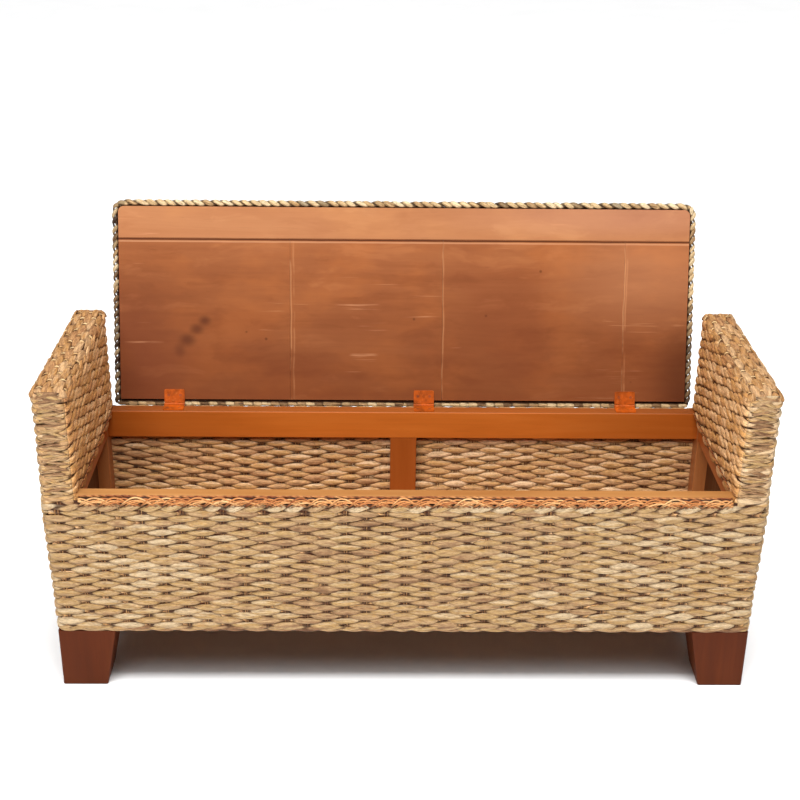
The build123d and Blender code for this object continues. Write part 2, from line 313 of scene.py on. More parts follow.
# ------------------------------------------------------------------ strand geometry
class Piece:
    """Collects swept strands and turns them into one mesh with fibre, tint and bake-layout data."""

    def __init__(self):
        self.v, self.fib, self.tint, self.quads, self.caps, self.uv, self.capuv = [], [], [], [], [], [], []
        self.n = 0
        self.strips = []

    def add(self, C, U, N, a, b, s, tone, painted_shade=0.0, extra_dark=0.0, k=10, rho=None, caps=True, power=1.0, rim=0.0,
            low=0.0):
        """C centre line (m, n, 3); U, N cross-section axes; a, b half sizes along them; s length (m, n)."""
        m, n = C.shape[:2]
        a = np.broadcast_to(np.asarray(a, float), (m, n))
        b = np.broadcast_to(np.asarray(b, float), (m, n))
        s = np.broadcast_to(s, (m, n))
        th = np.arange(k) * 2 * math.pi / k
        ct, st = np.cos(th), np.sin(th)
        ct2 = np.sign(ct) * np.abs(ct) ** power
        st2 = np.sign(st) * np.abs(st) ** power
        r = np.ones((m, n, k)) if rho is None else rho
        P = (C[:, :, None, :] + U[:, :, None, :] * (a[:, :, None] * ct2 * r)[..., None]
             + N[:, :, None, :] * (b[:, :, None] * st2 * r)[..., None])
        off = RNG.uniform(-400, 400, (m, 1, 1, 3))
        F = np.empty((m, n, k, 3))
        F[..., 0] = a[:, :, None] * ct
        F[..., 1] = b[:, :, None] * st
        F[..., 2] = s[:, :, None]
        F += off
        T = np.empty((m, n, k, 3))
        T[..., 0] = np.broadcast_to(np.asarray(tone, float), (m, n))[:, :, None]
        T[..., 1] = np.broadcast_to(np.asarray(painted_shade, float), (m, n))[:, :, None]
        # painted shade in the grooves of the lobed section
        if rho is not None:
            T[..., 1] += np.clip((1 - r) * 3.2, 0, 0.45)
        # painted shade along the strand's two edges, where it meets its neighbours
        if rim:
            T[..., 1] += rim * np.clip(np.abs(ct) - 0.55, 0, 1)[None, None, :] / 0.45
        if low:
            # painted shade on the undersides and a painted highlight on the tops
            T[..., 1] += low * np.clip(-U[:, :, None, 2] * ct, 0, 1) ** 1.4
            T[..., 0] += 0.4 * low * np.clip(U[:, :, None, 2] * ct, 0, 1)
        T[..., 1] = np.clip(T[..., 1], 0, 1)
        T[..., 2] = np.broadcast_to(np.asarray(extra_dark, float), (m, n))[:, :, None]
        self.v.append(P.reshape(-1, 3))
        self.fib.append(F.reshape(-1, 3))
        self.tint.append(T.reshape(-1, 3))
        i = np.arange(m)[:, None, None] * n * k + np.arange(n - 1)[None, :, None] * k
        j = np.arange(k)[None, None, :]
        j1 = (j + 1) % k
        # the winding follows the section axes, so that faces look outwards
        tg = C[0, min(1, n - 1)] - C[0, 0]
        flip = float(np.dot(np.cross(U[0, 0], N[0, 0]), tg)) < 0
        q = np.stack([i + j1, i + j, i + k + j, i + k + j1] if flip else [i + j, i + j1, i + k + j1, i + k + j], -1) + self.n
        self.quads.append(q.reshape(-1, 4))
        ln = np.abs(s[:, -1] - s[:, 0]).max() + 1e-6
        u = (s - s[:, :1]) / ln
        strip = len(self.strips) + np.arange(m)
        self.strips.extend([ln] * m)
        U0, U1 = u[:, :-1, None] + 0 * j, u[:, 1:, None] + 0 * j
        V0 = strip[:, None, None] + 0.04 + 0.92 * (j / k) + 0 * U0
        V1 = strip[:, None, None] + 0.04 + 0.92 * ((j + 1) / k) + 0 * U0
        order = ([U0, V1], [U0, V0], [U1, V0], [U1, V1]) if flip else ([U0, V0], [U0, V1], [U1, V1], [U1, V0])
        uv = np.stack([np.stack(o, -1) for o in order], -2)
        self.uv.append(uv.reshape(-1, 4, 2))
        if caps:
            base = self.n + np.arange(m) * n * k
            d0, d1 = (1, -1) if flip else (-1, 1)
            c0 = base[:, None] + np.arange(k)[None, ::d0]
            c1 = base[:, None] + (n - 1) * k + np.arange(k)[None, ::d1]
            self.caps.append((k, np.concatenate([c0, c1])))
            cu = np.empty((2 * m, k, 2))
            cu[:m, :, 0] = 0.001 + 0.0004 * (1 + ct[::-1])
            cu[m:, :, 0] = np.clip(u[:, -1], 0, 1)[:, None] - 0.001 - 0.0004 * (1 + ct)
            cu[..., 1] = np.concatenate([strip, strip])[:, None] + 0.5 + 0.05 * st
            self.capuv.append(cu)
        self.n += m * n * k

    def make(self, name, body, mat, to_world, replaces=(), slot=None):
        V = to_world(np.concatenate(self.v))
        Q = np.concatenate(self.quads)
        nq = len(Q)
        loops = [Q.reshape(-1)]
        starts = [np.arange(nq) * 4]
        uvs = [np.concatenate(self.uv).reshape(-1, 2)]
        pos = nq * 4
        for (k, c), cu in zip(self.caps, self.capuv):
            loops.append(c.reshape(-1))
            starts.append(pos + np.arange(len(c)) * k)
            pos += c.size
            uvs.append(cu.reshape(-1, 2))
        L = np.concatenate(loops)
        S = np.concatenate(starts)
        UV = np.concatenate(uvs)
        UV[:, 1] /= max(1, len(self.strips))
        me = bpy.data.meshes.new(name)
        me.vertices.add(len(V))
        me.vertices.foreach_set("co", V.astype(np.float32).reshape(-1))
        me.loops.add(len(L))
        me.loops.foreach_set("vertex_index", L.astype(np.int32))
        me.polygons.add(len(S))
        me.polygons.foreach_set("loop_start", S.astype(np.int32))
        me.polygons.foreach_set("use_smooth", np.ones(len(S), bool))
        me.update(calc_edges=True)
        uvl = me.uv_layers.new(name="OFBake")
        uvl.data.foreach_set("uv", UV.astype(np.float32).reshape(-1))
        for an, arr in (("fib", self.fib), ("tint", self.tint)):
            at = me.attributes.new(an, "FLOAT_VECTOR", "POINT")
            at.data.foreach_set("vector", np.concatenate(arr).astype(np.float32).reshape(-1))
        me.validate()
        me.materials.append(mat)
        ob = bpy.data.objects.new(name, me)
        bpy.context.scene.collection.objects.link(ob)
        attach(ob, body)
        if replaces:
            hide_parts(*replaces)
        tris = nq * 2 + sum(c.size - 2 * len(c) for k, c in self.caps)
        print("piece", name, "tris", tris)
        return ob


class Loop:
    """Closed rounded rectangle at mid-thickness, run anticlockwise seen from above, starting mid-back."""

    def __init__(self, x0, x1, y0, y1, r, rb=None):
        rb = r if rb is None else rb
        cx = (x0 + x1) / 2
        h = math.pi / 2
        self.st = []
        lf, lb, ly = (x1 - x0) - 2 * r, (x1 - x0) - 2 * rb, (y1 - y0) - r - rb
        self.st.append((lb / 2, "l", (cx, y1, -1, 0)))
        self.st.append((h * rb, "a", (x0 + rb, y1 - rb, h, rb)))
        self.st.append((ly, "l", (x0, y1 - rb, 0, -1)))
        self.st.append((h * r, "a", (x0 + r, y0 + r, math.pi, r)))
        self.st.append((lf, "l", (x0 + r, y0, 1, 0)))
        self.st.append((h * r, "a", (x1 - r, y0 + r, 1.5 * math.pi, r)))
        self.st.append((ly, "l", (x1, y0 + r, 0, 1)))
        self.st.append((h * rb, "a", (x1 - rb, y1 - rb, 0.0, rb)))
        self.st.append((lb / 2, "l", (x1 - rb, y1, -1, 0)))
        self.cum = np.concatenate([[0], np.cumsum([a[0] for a in self.st])])
        self.len = self.cum[-1]
        # arc lengths at the middle of each corner: back left, front left, front right, back right
        self.corner = [(self.cum[i] + self.cum[i + 1]) / 2 for i in (1, 3, 5, 7)]

    def at(self, s):
        s = np.asarray(s, float) % self.len if np.ndim(s) == 0 else np.asarray(s, float)
        p = np.zeros(s.shape + (2,))
        nrm = np.zeros(s.shape + (2,))
        for i, (ln, kind, d) in enumerate(self.st):
            m = (s >= self.cum[i] - 1e-9) & (s <= self.cum[i + 1] + 1e-9)
            t = s[m] - self.cum[i]
            if kind == "l":
                x, y, dx, dy = d
                p[m] = np.stack([x + dx * t, y + dy * t], -1)
                nrm[m] = (dy, -dx)
            else:
                x, y, a0, r = d
                a = a0 + t / r
                p[m] = np.stack([x + r * np.cos(a), y + r * np.sin(a)], -1)
                nrm[m] = np.stack([np.cos(a), np.sin(a)], -1)
        return p, nrm

    def side_stakes(self, n_front, n_side):
        """Evenly spaced stakes: n_front on the front and on the back, n_side on each side."""
        b, fl, fr, br = self.corner
        f = lambda a, c, n: [a + (c - a) * (i + 0.5) / n for i in range(n)]
        sp = 2 * b / n_front
        first = [b - sp * (i + 0.5) for i in range(n_front)]
        out = [v for v in sorted(first) if v > 1e-6]
        out += f(b, fl, n_side)
        out += f(fl, fr, n_front)
        out += f(fr, br, n_side)
        out += [self.len + v for v in sorted(first) if v <= 1e-6]
        return np.array(out)


def step(x, a, b):
    t = np.clip((x - a) / (b - a), 0, 1)
    return t * t * (3 - 2 * t)


def ease(x, xs, vals):
    """Smooth interpolation of per-stake values (rows, stakes) at positions x."""
    i = np.clip(np.searchsorted(xs, x) - 1, 0, len(xs) - 2)
    t = np.clip((x - xs[i]) / (xs[i + 1] - xs[i]), 0, 1)
    t = t * t * (3 - 2 * t)
    return vals[:, i] * (1 - t) + vals[:, i + 1] * t


def weft(s, stakes, rows, period=None, first=0, a0=7.2, amin=1.7, reach=0.86, p=1.9, o0=2.4, dive=-1.2, b=3.8,
         jit=1.35, spread=0.14, tilt=1.15, lean=0.0, contrast=0.46, mid=0.26):
    """All the woven rows at once. Each visible float is a spindle that dives under the next stakes."""
    m, K = rows, len(stakes)
    if period:
        xs = np.concatenate([stakes[-2:] - period, stakes, stakes[:2] + period])
    else:
        d0, d1 = stakes[1] - stakes[0], stakes[-1] - stakes[-2]
        xs = np.concatenate([[stakes[0] - 2 * d0, stakes[0] - d0], stakes, [stakes[-1] + d1, stakes[-1] + 2 * d1]])
    js = RNG.normal(0, 0.05 * jit, (m, K + 4)).clip(-0.12, 0.12)
    Q = np.interp(s, xs, np.arange(-2, K + 2))[None] + ease(s, xs, js)
    row = (np.arange(m) + first)[:, None]
    kf = 2 * np.round((Q + row) / 2) - row
    v = Q - kf
    ki = np.clip(kf.astype(int) + 4, 0, K + 7)
    g = lambda tab: np.take_along_axis(tab, ki, 1)
    n_ = lambda sd, lim: g(RNG.normal(0, sd * jit, (m, K + 8)).clip(-lim, lim))
    v = np.clip(v + n_(0.05, 0.10) * (1 - v ** 2), -1, 1)
    u = np.abs(v)
    fh, fr, fo = 1 + n_(0.075, 0.16), reach * (1 + n_(0.06, 0.13)), 1 + n_(0.10, 0.22)
    A = amin + (a0 * fh - amin) * np.clip(1 - (u / fr) ** p, 0, 1)
    B = 1.5 + (b * (1 + n_(0.06, 0.14)) - 1.5) * np.clip(1 - (u / 0.96) ** 2.4, 0, 1)
    off = dive + (o0 * fo - dive) * (1 - step(u, 0.42, 0.97))
    dz = (lean + n_(tilt, 2.0 * tilt)) * v * (1 - 0.3 * u) + n_(0.5, 0.9) * (1 - u ** 2)
    tone = mid + contrast * g(RNG.uniform(0, 1, (m, K + 8))) + RNG.uniform(0, spread, (m, 1))
    tone = tone + 0.10 * np.sin(s / 170.0 + RNG.uniform(0, 6))[None]
    # painted shade where each float dives behind the stakes and its neighbours
    painted_shade = step(u, 0.60, 0.90) * 0.95
    return u, A, B, off, dz, tone, painted_shade


def grooves(m, n, k, s, lobes=3, g=0.075, turn=75.0):
    """Slightly lobed section that turns along the strand, as a lightly twisted bundle of leaves."""
    th = np.arange(k) * 2 * math.pi / k
    ph0 = RNG.uniform(0, 6.28, (m, 1, 1))
    sg = np.where(RNG.uniform(0, 1, (m, 1, 1)) < 0.7, 1.0, -1.0)
    S = np.broadcast_to(s, (m, n))[:, :, None]
    w = np.cos(lobes * th[None, None, :] + sg * 2 * math.pi * S / turn + ph0)
    w = np.sqrt(np.clip(1 + w, 0, 2) / 2) * 2 - 1.25
    return 1 + g * w + RNG.normal(0, 0.018, (m, n, k))


def loop_arrays(loop, s, z):
    """Base arrays for rows of a loop: centre, up axis, outward axis."""
    p, nrm = loop.at(s)
    m, n = len(z), len(s)
    C = np.empty((m, n, 3))
    C[..., 0], C[..., 1] = p[:, 0], p[:, 1]
    C[..., 2] = np.asarray(z)[:, None]
    N = np.zeros((m, n, 3))
    N[..., 0], N[..., 1] = nrm[:, 0], nrm[:, 1]
    U = np.zeros((m, n, 3))
    U[..., 2] = 1
    return C, U, N


def samples(loop_len, stakes, per, cuts):
    """Sample positions: `per` a stake interval, with the cuts included exactly."""
    ext = np.concatenate([[0.0], stakes, [loop_len]])
    out = [0.0]
    for a, b in zip(ext[:-1], ext[1:]):
        if b - a < 1e-6:
            continue
        k = max(2, int(round(per * (b - a) / np.median(np.diff(stakes)))))
        out += list(a + (b - a) * (np.arange(k) + 1) / k)
    out = np.array(out)
    for c in cuts:
        i = int(np.argmin(np.abs(out - c)))
        if 0 < i < len(out) - 1:
            out[i] = c
        else:
            out = np.sort(np.append(out, c))
    return np.unique(out)


def rope(piece, C, U, N, s, pitch, ou, on, a0, amin, b, strands=2, k=10, phase=0.0, hand=1, tone=(0.25, 0.9),
         extra_dark=None, jitter=1.0, dark=0.8):
    """Twisted rope along a line of points (n, 3): each strand shows as a row of slanted spindles."""
    n = len(s)
    for j in range(strands):
        kn = max(4, int((s[-1] - s[0]) / 30))
        wob = np.interp(s, np.linspace(s[0], s[-1], kn), RNG.normal(0, 0.28 * jitter, kn))
        ph = hand * (2 * math.pi * s / pitch) + 2 * math.pi * j / strands + phase + wob
        co, si = np.cos(ph), np.sin(ph)
        lens = np.floor((ph - math.pi / 2) / (2 * math.pi) + 0.5).astype(int)
        lens -= lens.min()
        tab = RNG.uniform(tone[0], tone[1], lens.max() + 1)
        big = 1 + RNG.normal(0, 0.08 * jitter, lens.max() + 1).clip(-0.16, 0.16)
        w = np.clip(si, 0, 1) ** 0.75
        P = C + U * (ou * co)[:, None] + N * (on * si)[:, None]
        tang = np.gradient(P, axis=0)
        tang /= np.linalg.norm(tang, axis=1)[:, None] + 1e-9
        Uj = U - tang * (U * tang).sum(1)[:, None]
        Uj /= np.linalg.norm(Uj, axis=1)[:, None]
        Nj = N - tang * (N * tang).sum(1)[:, None] - Uj * (N * Uj).sum(1)[:, None]
        Nj /= np.linalg.norm(Nj, axis=1)[:, None]
        A = amin + (a0 * big[lens] - amin) * w
        Bv = b * (0.72 + 0.28 * w)
        st = 0.0 if extra_dark is None else extra_dark(C, lens)[None]
        # painted shade on the stretch of each strand that lies on the rope's far side, and along its edges
        piece.add(P[None], Uj[None], Nj[None], A[None], Bv[None], s[None], tab[lens][None],
                  (dark * step(-si, -0.35, 0.35))[None], st, k=k, rho=grooves(1, n, k, s, 3, 0.06, 45), rim=0.25)


K_W = 12
PER = 10
K_R = 10
SEG = 22

# ------------------------------------------------------------------ base: woven rows all the way round
base_loop = Loop(-W2 + 6, W2 - 6, 6, D - 6, 12.0)
base_stakes = base_loop.side_stakes(35, 10)
bl, fl, fr, br = base_loop.corner
s_base = samples(base_loop.len, base_stakes, PER, (bl, fl, fr, br))
idx = lambda s_all, v: int(np.argmin(np.abs(s_all - v)))
z_rows = ZB + 14.5 + PITCH * np.arange(25)              # plain rows between the edging ropes
R = len(z_rows)


def woven(piece, i0, i1, C, U, N, f, s, k=None, rho=None, sel=slice(None), rim=0.08, low=0.46):
    u, A, B, off, dz, tone, dep = f
    k = k or K_W
    cut = lambda a: a[sel, i0:i1 + 1]
    S = np.broadcast_to(s, A.shape)
    piece.add(cut(C), cut(U), cut(N), cut(A), cut(B), cut(S), cut(tone), cut(dep), k=k,
              rho=None if rho is None else rho[sel, i0:i1 + 1], power=0.95, rim=rim, low=low)


def drift(s, m, amt=1.0):
    """Rows wander a little, together and one by one."""
    common = 0.9 * np.sin(s / 260.0) + 0.7 * np.sin(s / 97.0 + 1.0)
    one = np.cumsum(RNG.normal(0, 0.16, (m, 1)), 0) * np.sin(s / 140.0)[None, :]
    return amt * (0.6 * common[None, :] + one.clip(-1.1, 1.1))


fb = weft(s_base, base_stakes, R, base_loop.len, lean=0.25)
Cb, Ub, Nb = loop_arrays(base_loop, s_base, z_rows)
Cb = Cb + Nb * fb[3][..., None] + Ub * (fb[4] + drift(s_base, R))[..., None]
rho_b = grooves(R, len(s_base), K_W, s_base)
i_bl, i_fl, i_fr, i_br = (idx(s_base, v) for v in (bl, fl, fr, br))
last = len(s_base) - 1
pc = {n: Piece() for n in ("front_low", "front_high", "left", "right", "back_low", "back_high")}
low, high = slice(0, 13), slice(13, 25)
woven(pc["front_low"], i_fl, i_fr, Cb, Ub, Nb, fb, s_base, rho=rho_b, sel=low)
woven(pc["front_high"], i_fl, i_fr, Cb, Ub, Nb, fb, s_base, rho=rho_b, sel=high)
woven(pc["left"], i_bl, i_fl, Cb, Ub, Nb, fb, s_base, rho=rho_b)
woven(pc["right"], i_fr, i_br, Cb, Ub, Nb, fb, s_base, rho=rho_b)
for nm, sel in (("back_low", low), ("back_high", high)):
    woven(pc[nm], 0, i_bl, Cb, Ub, Nb, fb, s_base, rho=rho_b, sel=sel)
    woven(pc[nm], i_br, last, Cb, Ub, Nb, fb, s_base, rho=rho_b, sel=sel)

# the same rows seen from the storage side, on the front and the back
inside = {}
for nm, y, sg in (("back", D - 6, -1.0), ("front", 6.0, 1.0)):
    xs_i = np.linspace(-W2 + 14, W2 - 14, 35 * PER + 1)
    st_i = np.linspace(-W2 + 14, W2 - 14, 36)[:-1] + 18.1
    f = weft(xs_i, st_i, R, None, first=1, jit=1.25, tilt=1.3, lean=-0.5 if nm == "back" else 0.3)
    C = np.empty((R, len(xs_i), 3))
    C[..., 0] = xs_i
    C[..., 1] = y + sg * f[3]
    sag = 9.0 * np.exp(-((xs_i + 640) / 190.0) ** 2) - 5.0 * np.exp(-((xs_i + 330) / 170.0) ** 2) \
        + 3.0 * np.sin(xs_i / 120.0) if nm == "back" else 1.2 * np.sin(xs_i / 150.0)
    fade = np.sin(np.pi * np.clip((z_rows - z_rows[0]) / (z_rows[-1] - z_rows[0]), 0, 1))[:, None] ** 0.6
    C[..., 2] = z_rows[:, None] + f[4] + sag[None, :] * fade
    U = np.zeros_like(C)
    U[..., 2] = 1
    N = np.zeros_like(C)
    N[..., 1] = sg
    rh = grooves(R, len(xs_i), K_W, xs_i)
    inside[nm] = (Piece(), Piece())
    woven(inside[nm][0], 0, len(xs_i) - 1, C, U, N, f, xs_i, rho=rh, sel=low)
    woven(inside[nm][1], 0, len(xs_i) - 1, C, U, N, f, xs_i, rho=rh, sel=high)


def shade_core(piece, loop, s0, s1, z0, z1, out=0.0, half=0.45):
    """Dark sheet at mid-thickness that shows in the gaps between the floats, as painted shade in those gaps."""
    s = np.linspace(s0, s1, max(3, int((s1 - s0) / 14)))
    C, U, N = loop_arrays(loop, s, [(z0 + z1) / 2])
    piece.add(C + N * out, U, N, (z1 - z0) / 2, half, s[None], 0.5, k=8, power=0.25)


shade_cores = Piece()
for a, b in ((0, bl), (bl, fl), (fl, fr), (fr, br), (br, base_loop.len)):
    shade_core(shade_cores, base_loop, a, b, ZB + 3, 398)


# edging ropes: two at the bottom, one thick one under the top border
def loop_rope(loop, ranges, z, out, pitch, ou, on, a0, amin, b, hand, tone, under=False, extra_dark=None, k=8, phase=0.0, **kw):
    for piece, s0, s1 in ranges:
        s = np.linspace(s0, s1, max(8, int((s1 - s0) / (pitch / SEG))))
        p, nrm = loop.at(s)
        C = np.stack([p[:, 0] + nrm[:, 0] * out, p[:, 1] + nrm[:, 1] * out, np.full(len(s), z)], -1)
        Nn = np.stack([nrm[:, 0], nrm[:, 1], 0 * s], -1)
        Un = np.zeros_like(Nn)
        Un[:, 2] = 1
        if under:
            Un, Nn = Nn, -Un
        rope(piece, C, Un, Nn, s, pitch, ou, on, a0, amin, b, hand=hand, tone=tone, extra_dark=extra_dark, k=k, phase=phase, **kw)


edge_low = [(pc["left"], bl, fl), (pc["front_low"], fl, fr), (pc["right"], fr, br), (pc["back_low"], 0, bl),
            (pc["back_low"], br, base_loop.len)]
edge_high = [(pc["left"], bl, fl), (pc["front_high"], fl, fr), (pc["right"], fr, br), (pc["back_high"], 0, bl),
             (pc["back_high"], br, base_loop.len)]
loop_rope(base_loop, edge_low, ZB + 4.2, 0.6, 88.0, 1.0, 1.6, 3.6, 2.2, 2.6, 1, (0.05, 0.7))
loop_rope(base_loop, edge_low, ZB + 8.6, 1.8, 72.0, 1.5, 1.5, 4.2, 2.2, 2.4, -1, (0.15, 0.85))
top_z = z_rows[-1] + 11.6
loop_rope(base_loop, edge_high, top_z, 1.0, 74.2, 3.3, 2.2, 7.2, 2.6, 3.4, -1, (0.45, 1.0), k=K_R + 2)

# ------------------------------------------------------------------ arms
ARM_P = 9.9
arm = {}
for name, sg in (("left", -1), ("right", 1)):
    xa, xb = sorted((sg * (W2 - 6), sg * 592.0))
    lp = Loop(xa, xb, 6, D - 6, 14.0)
    st = lp.side_stakes(1, 13)
    cb, cf, cr, cbr = lp.corner
    s_a = samples(lp.len, st, PER, (cb, cf, cr, cbr))
    za = top_z + 9.2 + ARM_P * np.arange(21)
    m = len(za)
    f = weft(s_a, st, m, lp.len, a0=7.7, amin=1.6, reach=0.88, p=1.9, o0=2.1, dive=-1.0, b=3.0, jit=2.0, spread=0.25,
             tilt=1.5, lean=0.8)
    C, U, N = loop_arrays(lp, s_a, za)
    C = C + N * f[3][..., None] + U * (f[4] + 0.8 * np.sin(s_a / 60.0)[None, :] + drift(s_a, m, 0.8))[..., None]
    rho = grooves(m, len(s_a), K_W, s_a, 3, 0.085, 60)
    ia = [idx(s_a, v) for v in (cb, cf, cr, cbr)]
    end = len(s_a) - 1
    left_side, right_side = (ia[0], ia[1]), (ia[2], ia[3])
    outer, inner = (left_side, right_side) if sg < 0 else (right_side, left_side)
    P = {"front": Piece(), "inner": Piece(), "back": Piece(), "shade_core": Piece()}
    woven(P["front"], ia[1], ia[2], C, U, N, f, s_a, rho=rho)
    woven(P["inner"], *inner, C, U, N, f, s_a, rho=rho)
    woven(P["back"], 0, ia[0], C, U, N, f, s_a, rho=rho)
    woven(P["back"], ia[3], end, C, U, N, f, s_a, rho=rho)
    woven(pc[name], *outer, C, U, N, f, s_a, rho=rho)
    for a, b in ((0, cb), (cb, cf), (cf, cr), (cr, cbr), (cbr, lp.len)):
        shade_core(P["shade_core"], lp, a, b, za[0] - 6, za[-1] + 9)
    # rim rope under the arm's top
    zr = za[-1] + 8.4
    inn = (cr, cbr) if sg < 0 else (cb, cf)
    out_ = (cb, cf) if sg < 0 else (cr, cbr)
    rr = [(P["front"], cf, cr), (P["inner"],) + inn, (P["back"], 0, cb), (P["back"], cbr, lp.len), (pc[name],) + out_]
    loop_rope(lp, rr, zr, 0.2, 66.0, 2.4, 2.0, 5.8, 2.2, 3.2, -1, (0.3, 1.0), k=K_R, jitter=1.5)
    arm[name] = dict(loop=lp, stakes=st, z=za, s=s_a, sg=sg, P=P)

    # top of the arm: strands running front to back over rounded edges
    top = Piece()
    rr_ = 9.0
    xo, xi_ = W2 - 6, 592.0
    z_top = ZA - 4.6
    half = (xo - xi_) / 2 - rr_
    xc = (xo + xi_) / 2
    Lprof = math.pi * rr_ + 2 * half
    ts = np.array([6.0, 16.5, 27.0, 37.4, 47.9, 58.4]) * Lprof / 64.4

    def prof_at(t):
        q = math.pi / 2 * rr_
        if t < q:
            a = t / rr_
            return xc + half + rr_ * math.cos(a), z_top - rr_ + rr_ * math.sin(a), math.cos(a), math.sin(a)
        if t < q + 2 * half:
            return xc + half - (t - q), z_top, 0.0, 1.0
        a = math.pi / 2 + (t - q - 2 * half) / rr_
        return xc - half + rr_ * math.cos(a), z_top - rr_ + rr_ * math.sin(a), math.cos(a), math.sin(a)

    # run along y: up over the front edge, along, down over the back edge
    rf = 10.0
    y0, y1 = 6.0, D - 6.0
    qf = math.pi / 2 * rf
    run = (y1 - y0) - 2 * rf
    Ltot = run + 2 * qf
    n_t = int(Ltot / 3.6)
    s_t = np.linspace(0, Ltot, n_t)
    yy = np.where(s_t < qf, y0 + rf - rf * np.cos(s_t / rf),
                  np.where(s_t < qf + run, y0 + rf + (s_t - qf), y1 - rf + rf * np.sin((s_t - qf - run) / rf)))
    drop = np.where(s_t < qf, rf - rf * np.sin(s_t / rf),
                    np.where(s_t < qf + run, 0, rf - rf * np.cos((s_t - qf - run) / rf)))
    ny = np.where(s_t < qf, -np.cos(s_t / rf), np.where(s_t < qf + run, 0, np.sin((s_t - qf - run) / rf)))
    nv = np.sqrt(np.clip(1 - ny ** 2, 0, 1))
    tz = np.where(s_t < qf, np.cos(s_t / rf), np.where(s_t < qf + run, 0, -np.sin((s_t - qf - run) / rf)))
    ties = qf + (np.array(sorted(lp.at(st[(st > cb) & (st < cf)])[0][:, 1])) - y0 - rf)
    m = len(ts)
    f = weft(s_t, ties, m, None, a0=7.3, amin=3.4, reach=1.0, p=2.2, o0=1.3, dive=-0.9, b=2.8, jit=2.0, spread=0.3, tilt=1.3)
    C = np.empty((m, n_t, 3)); U = np.empty((m, n_t, 3)); N = np.empty((m, n_t, 3))
    for j, t in enumerate(ts):
        x, z, nx, nz = prof_at(t)
        C[j, :, 0] = sg * x
        C[j, :, 1] = yy
        w_ = math.sqrt(max(nz, 0.0))                 # strands on the flanks run straight to their ends
        nyj, tzj = ny * w_, tz * w_
        nv = np.sqrt(np.clip(1 - nyj ** 2, 0, 1))
        C[j, :, 2] = z - drop * w_
        Nj = np.stack([sg * nx * nv, nyj + 0 * s_t, nz * nv], -1)
        Nj /= np.linalg.norm(Nj, axis=1)[:, None]
        tg = np.stack([0 * s_t, nv, tzj], -1)
        tg /= np.linalg.norm(tg, axis=1)[:, None]
        Uj = np.cross(Nj, tg)
        Uj /= np.linalg.norm(Uj, axis=1)[:, None]
        N[j], U[j] = np.cross(tg, Uj), Uj
    C = C + N * f[3][..., None] + U * (f[4] * 0.8)[..., None]
    # painted shade where the strands dive under the ties, and along their edges
    top.add(C, U, N, f[1], f[2], np.broadcast_to(s_t, (m, n_t)), f[5], f[6] * 0.55, k=K_W,
            rho=grooves(m, n_t, K_W, s_t, 3, 0.11, 50), power=0.95, rim=0.15)
    # dark sheet under the top strands, painted shade for the gaps between them
    yc = np.linspace(y0 + 8, y1 - 8, 24)
    Cc = np.stack([0 * yc + sg * xc, yc, 0 * yc + z_top - 1.6], -1)[None]
    P["shade_core"].add(Cc, np.broadcast_to(np.array([1.0, 0, 0]), Cc.shape), np.broadcast_to(np.array([0, 0, 1.0]), Cc.shape),
                  half + rr_ - 3.0, 0.5, yc[None], 0.5, k=8, power=0.25)
    arm[name]["top"] = top
    arm[name]["ties"] = ties
    arm[name]["prof"] = (prof_at, Lprof, ts, qf, rf, y0)
    # broad pale leaves laid across the front end of the top, over and under each other
    lf = Piece()
    for j in range(46):
        t = np.linspace(0, 1, 22)
        up = j % 2
        fine = 1.0 if j < 11 else 0.0
        zc = ZA - 6.0 - 2.9 * min(j, 11) - 4.9 * max(j - 11, 0) + RNG.normal(0, 0.7)
        slope = (4.2 + 3.2 * fine) * (1.0 if up else -0.93) + RNG.normal(0, 1.5)
        ta, tb = 0.02 + RNG.uniform(0, 0.14) * (1 - up), 0.98 - RNG.uniform(0, 0.14) * up
        x = sg * (xo - 3) - sg * (xo - xi_ - 6) * (ta + (tb - ta) * t)
        e = np.abs(x - sg * xc) / (xo - xi_) * 2
        bow = 2.6 * np.sin(np.pi * t) * (1 if j % 3 else -1)
        yl = 3.6 - 3.0 * np.sin(np.pi * t) ** 0.8 + 5.5 * e ** 5 + 1.4 * (j % 3 == 0)
        zl = np.minimum(zc + slope * (t - 0.5) * 2 + 0.5 * bow, ZA - 6.5)
        C = np.stack([x, yl, zl], -1)[None]
        tg = np.gradient(C[0], axis=0)
        tg /= np.linalg.norm(tg, axis=1)[:, None]
        Nn = np.array([0.0, -1.0, 0.30]) - tg * (tg @ np.array([0.0, -1.0, 0.30]))[:, None]
        Nn /= np.linalg.norm(Nn, axis=1)[:, None]
        Un = np.cross(tg, Nn)
        wd = 0.8 + (1.8 + 0.9 * fine + RNG.uniform(0, 1.0)) * np.sin(np.pi * t) ** 0.75
        # the leaves darken towards their ends, painted shade where they pass under, and along their edges
        lf.add(C, Un[None], Nn[None], wd[None], (1.0 + 1.2 * np.sin(np.pi * t))[None], (58 * t)[None],
               RNG.uniform(0.15, 0.75 + 0.15 * fine), np.clip(1.0 - 2.6 * np.sin(np.pi * t), 0, 0.9)[None], k=K_W,
               rho=grooves(1, 22, K_W, 58 * t, 3, 0.09, 60), rim=0.45)
    arm[name]["leaves"] = lf


